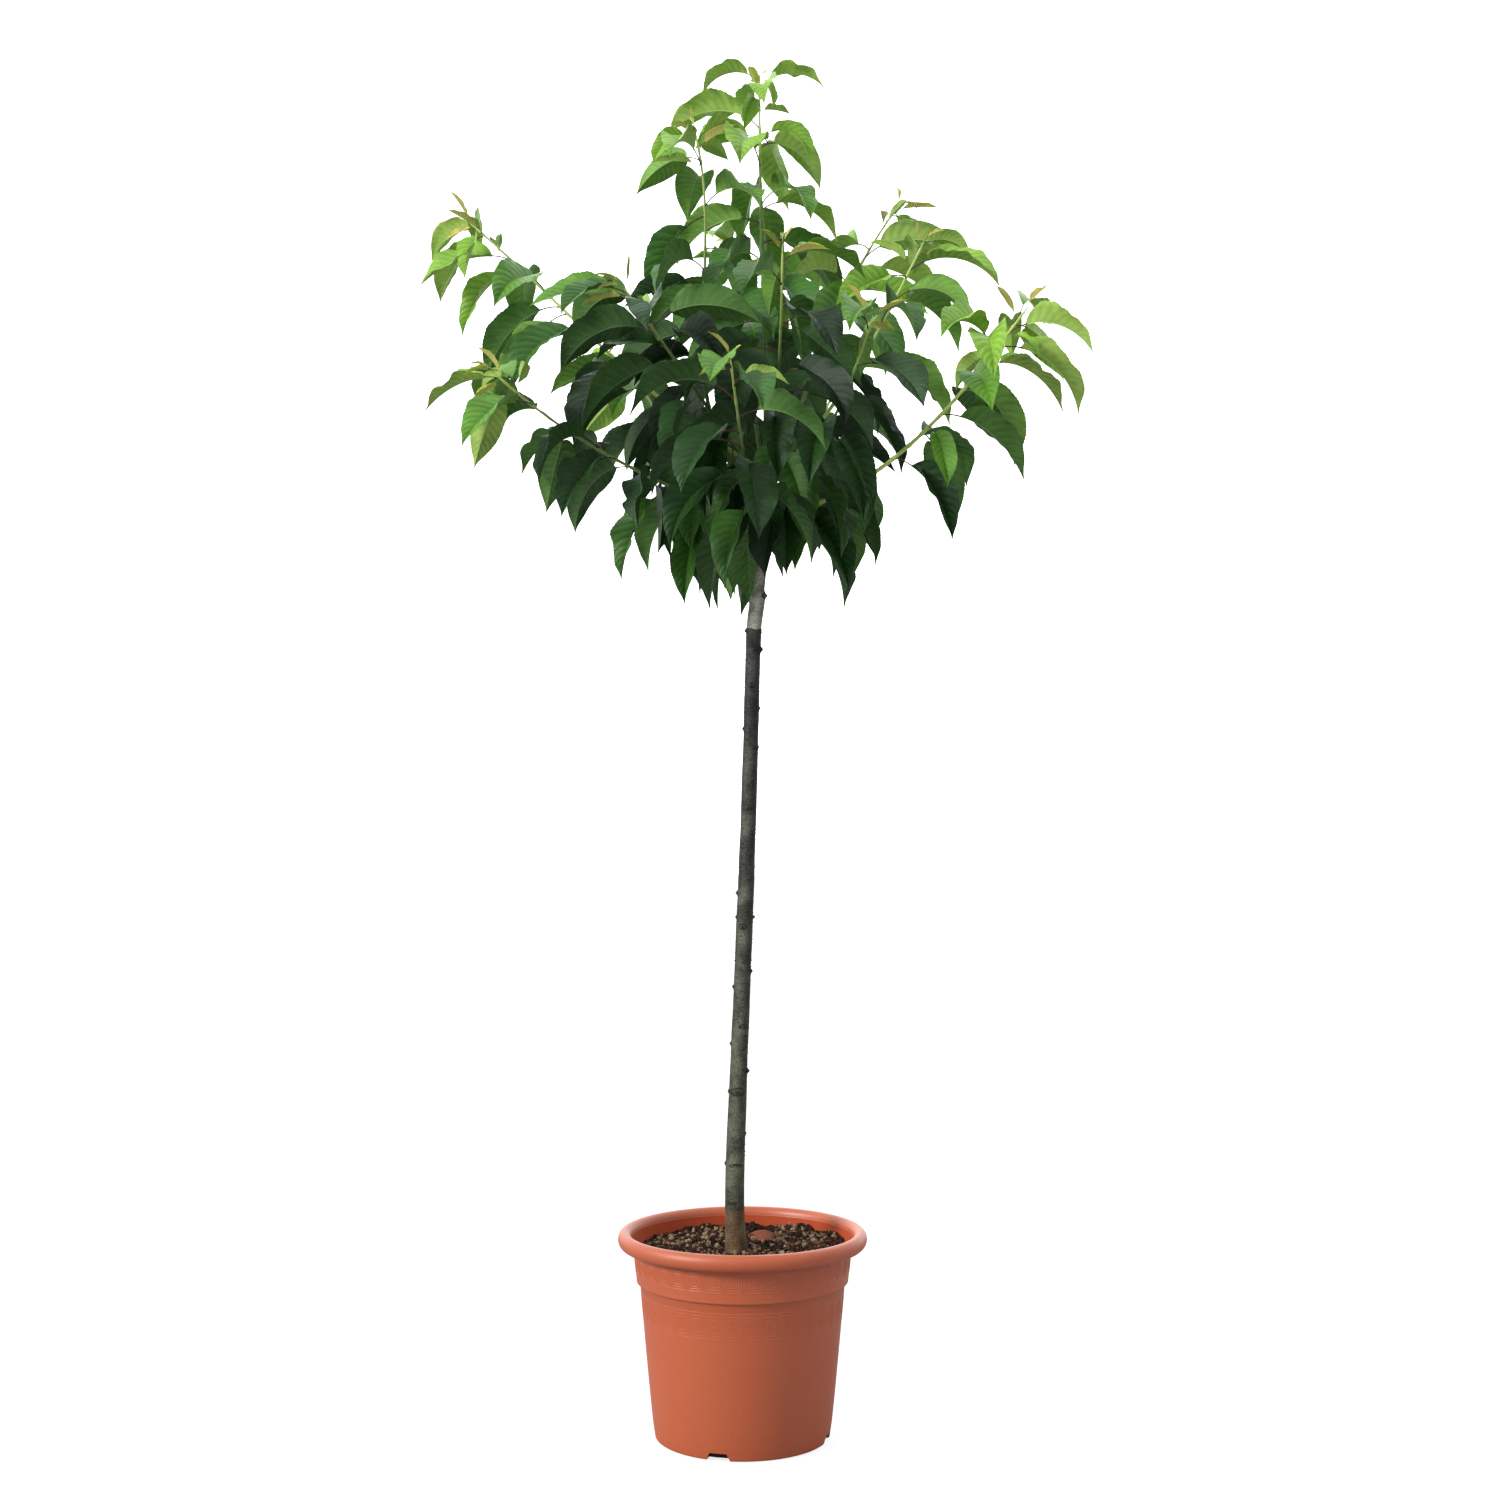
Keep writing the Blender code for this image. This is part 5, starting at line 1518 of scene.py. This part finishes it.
def young_leaves(line, end, rng):
    """Small folded leaves round the end of a shoot, the smallest at its very tip."""
    turn = rng.uniform(0, 360)
    for back, length in zip(TIP_SHARES, TIP_LENGTHS):
        along = line.along(end * (0.995 - back))
        turn += LEAF_TURN + rng.uniform(-TURN_SPREAD, TURN_SPREAD)
        out = Matrix.Rotation(math.radians(turn), 3, along) @ along.orthogonal().normalized()
        way = along * (1.0 - 4.0 * back) + out * (0.55 + 5.0 * back)
        lift = math.degrees(math.asin(way.normalized().z))
        root = line.at(end * (1 - back))
        room = (CROWN_TOP - root.z) / (1 + PETIOLE) / max(0.05, math.sin(math.radians(lift)))
        leaf = Leaf(root, math.degrees(math.atan2(way.y, way.x)), lift - PETIOLE_RISE, lift - rng.uniform(20, 60),
                    min(room, length * rng.uniform(0.85, 1.1)), rng.uniform(-40, 40))
        if leaf.length > TIP_LEAST:
            yield leaf, 1.0 - 6.0 * back


def make_leaves(shoots, leaves, finishes):
    """The blades of each shoot as a piece of its own, and all petioles as one."""
    stalks = Heap()
    rng = random.Random(71)
    lines = {shoot.name: line for shoot, line in shoots}
    for name, placed in leaves.items():
        heap = Heap()
        # painted light and shade: each plain leaf's tint follows its place in the crown
        drawn = [(leaf, 0.0, tint_of(name, share, leaf.root, rng)) for leaf, share in placed if share <= TIP_FROM]
        if name in lines:
            sprig = young_leaves(lines[name], shoot_end(lines[name], placed), rng)
            drawn += [(leaf, youth, YOUNG if youth > 0.6 else 4) for leaf, youth in sprig]
        for leaf, youth, tint in drawn:
            if leaf.root.z > TOP_LEAVES:
                leaf = leaf._replace(lift=leaf.lift - TOP_SINK)
            points, marks = blade_points(leaf, rng, youth)
            points = np.clip(points, np.array(cad_box[0]) + INSIDE, np.array(cad_box[1]) - INSIDE)
            heap.add(points, BLADE_FACES, BLADE_FINISH + 2 * tint, marks)
            stalks.add(*stalk(leaf), 0 if youth else 1)
        node_name = name if name.startswith("spur") else "foliage_" + name
        ride(heap.piece("leaves_" + name, finishes["blades"], sharp=60), "foliage", node_name)
    ride(stalks.piece("petioles", finishes["stalks"]), "shoot_bark")


def make_shoots(shoots, spurs, leaves, finishes):
    """All shoots and spurs from the stem to their tips, a little swollen at each leaf, with a pointed end."""
    heap = Heap()
    for twig, line in shoots + spurs:
        end = shoot_end(line, leaves[twig.name])
        count = max(12, round(end / 0.004))
        marks = np.linspace(0, end, count)
        root = twig.radius if isinstance(twig, Shoot) else SPUR_RADIUS
        radii = SHOOT_SLIM * (root + (SHOOT_TIP_RADIUS - root) * marks / line.length)
        radii *= 1 + 0.5 * np.exp(-((marks - 0.008) / 0.008) ** 2)
        points = np.array([line.at(mark)[:] for mark in marks])
        for leaf, _ in leaves[twig.name]:
            away = np.linalg.norm(points - np.array(leaf.root), axis=1)
            radii *= 1 + 0.35 * np.exp(-(away / 0.0035) ** 2)
        radii *= np.clip((end - marks) / TIP_TAPER, 0.08, 1) ** 0.6
        verts, faces = fine_tube(points, radii, 10)
        along = np.repeat(marks / line.length, 10) if isinstance(twig, Shoot) else np.zeros(10 * count)
        heap.add(verts, faces, 0, np.stack((along, np.full_like(along, PAINTED_PALE_SHOOTS.get(twig.name, 0))), axis=1))
    boughs = ["bough_" + shoot.name for shoot, _ in shoots]
    ride(heap.piece("shoots", finishes["shoots"]), "shoot_bark", *boughs)


def shoot_material(bark):
    """Smooth shoot bark: dull green-brown at the foot, then a pale yellow-green up to the tip; on the shoots listed as
    pale it is painted pale from near the foot, as painted light.
    """
    mat, tree, shader = blank("green bark", 0.5)
    place = node(tree, "TexCoord").outputs["Object"]
    along, pale, _ = node(tree, "SeparateXYZ", {0: node(tree, "UVMap", uv_map="marks").outputs["UV"]}).outputs
    # painted light: the shoots listed as pale take the pale tip colour from near their foot
    age = maths(tree, "MAXIMUM", ramp(tree, along, 0.55, 1.0), maths(tree, "MULTIPLY", pale, ramp(tree, along, 0.0, 0.2)))
    feeds = {"Place": place, "Pore Share": 0.4, "Gloss": 0.5, "Pore": colour(168, 186, 110),
             "Base": mix(tree, age, colour(70, 106, 42), colour(206, 234, 116)),
             "Patch": mix(tree, age, colour(88, 124, 54), colour(232, 248, 152))}
    effect = place_group(tree, bark, feeds)
    tree.links.new(effect.outputs["Color"], shader.inputs["Base Color"])
    tree.links.new(effect.outputs["Roughness"], shader.inputs["Roughness"])
    relief = node(tree, "Bump", {"Strength": 0.2, "Distance": 0.0005, "Height": effect.outputs["Height"]})
    tree.links.new(relief.outputs["Normal"], shader.inputs["Normal"])
    return mat


def crown_finishes(blade, bark):
    """The finishes of blades, petioles and shoots."""
    blades = []
    for tint in TINTS:
        top, under, vein = (colour(*value) for value in tint[1:])
        blades.append(dress("blade top " + tint.name, blade, {"Base": top, "Vein": vein, "Vein Share": 0.35 if tint.name in ("dark", "deep") else 0.55,
                                                                  "Gloss": 0.36},
                            0.36, bump=0.3, bump_distance=0.0007, marks=True, **{"Specular IOR Level": 0.4}))
        blades.append(dress("blade under " + tint.name, blade, {"Base": under, "Vein": vein, "Vein Share": 0.6, "Gloss": 0.58},
                            0.58, bump=0.3, bump_distance=0.0007, marks=True))
    stalks = [
        dress("green petiole", bark, {"Base": colour(132, 116, 62), "Patch": colour(128, 76, 56),
                                      "Pore": colour(150, 140, 80), "Pore Share": 0.2, "Gloss": 0.45}, 0.45),
        dress("plum petiole", bark, {"Base": colour(62, 32, 32), "Patch": colour(96, 62, 46),
                                     "Pore": colour(50, 24, 26), "Pore Share": 0.3, "Gloss": 0.42}, 0.42),
    ]
    return {"blades": blades, "shoots": [shoot_material(bark)], "stalks": stalks}


# The whole object

def main():
    studio()
    speckle = speckle_group()
    bark = bark_group()
    blade = leaf_group()
    terracotta = dress("terracotta plastic", speckle,
                       {"Base": colour(202, 92, 46), "Fleck": colour(224, 132, 92), "Grain": 900.0, "Cloud": 6.0,
                        "Fleck Share": 0.28, "Gloss": 0.47}, 0.47, bump=0.12, bump_distance=0.0006,
                       Specular_IOR_Level=0.9, Coat_Weight=0.2, Coat_Roughness=0.42)
    # painted shade: the inside finish is darker and redder than the outside, standing in for the shade and red bounce
    # light within the pot
    inside = dress("terracotta plastic inside", speckle,
                   {"Base": colour(184, 75, 39), "Fleck": colour(204, 100, 62), "Grain": 900.0, "Cloud": 6.0,
                    "Fleck Share": 0.2, "Gloss": 0.7}, 0.7, bump=0.1, bump_distance=0.0006, **{"Specular IOR Level": 0.2})
    make_pot(terracotta, inside)
    make_ornament(terracotta)
    make_soil(dress("potting soil", speckle,
                    {"Base": colour(*SOIL_COLOUR), "Fleck": colour(84, 54, 35), "Grain": 420.0, "Cloud": 40.0,
                     "Fleck Share": 0.5, "Gloss": 0.88}, 0.9, bump=0.9, bump_distance=0.002,
                    **{"Specular IOR Level": 0.2}))
    taken = []
    for grit in GRITS:
        finish = dress(grit.name.replace("_", " "), speckle,
                       {"Base": colour(*grit.colour), "Fleck": colour(*SOIL_COLOUR), "Grain": 190.0, "Cloud": 60.0,
                        "Fleck Share": 0.85, "Gloss": 0.85}, 0.85, bump=0.5, bump_distance=0.0008,
                       **{"Specular IOR Level": 0.25})
        make_grit(grit, finish, taken)
    make_shard(dress("fired clay", speckle,
                     {"Base": colour(136, 74, 48), "Fleck": colour(92, 58, 40), "Grain": 260.0, "Cloud": 90.0,
                      "Fleck Share": 0.8, "Gloss": 0.85}, 0.85, bump=0.3, bump_distance=0.0006,
                     **{"Specular IOR Level": 0.25}))
    make_stem(stem_material(bark))
    make_buds(dress("dry buds", bark, {"Base": colour(34, 31, 25), "Patch": colour(60, 54, 42), "Pore": colour(26, 22, 18),
                                       "Pore Share": 0.3, "Gloss": 0.8}, 0.8, **{"Specular IOR Level": 0.2}))
    _, shoots, spurs, leaves = grow()
    finishes = crown_finishes(blade, bark)
    make_shoots(shoots, spurs, leaves, finishes)
    make_leaves(shoots, leaves, finishes)


main()
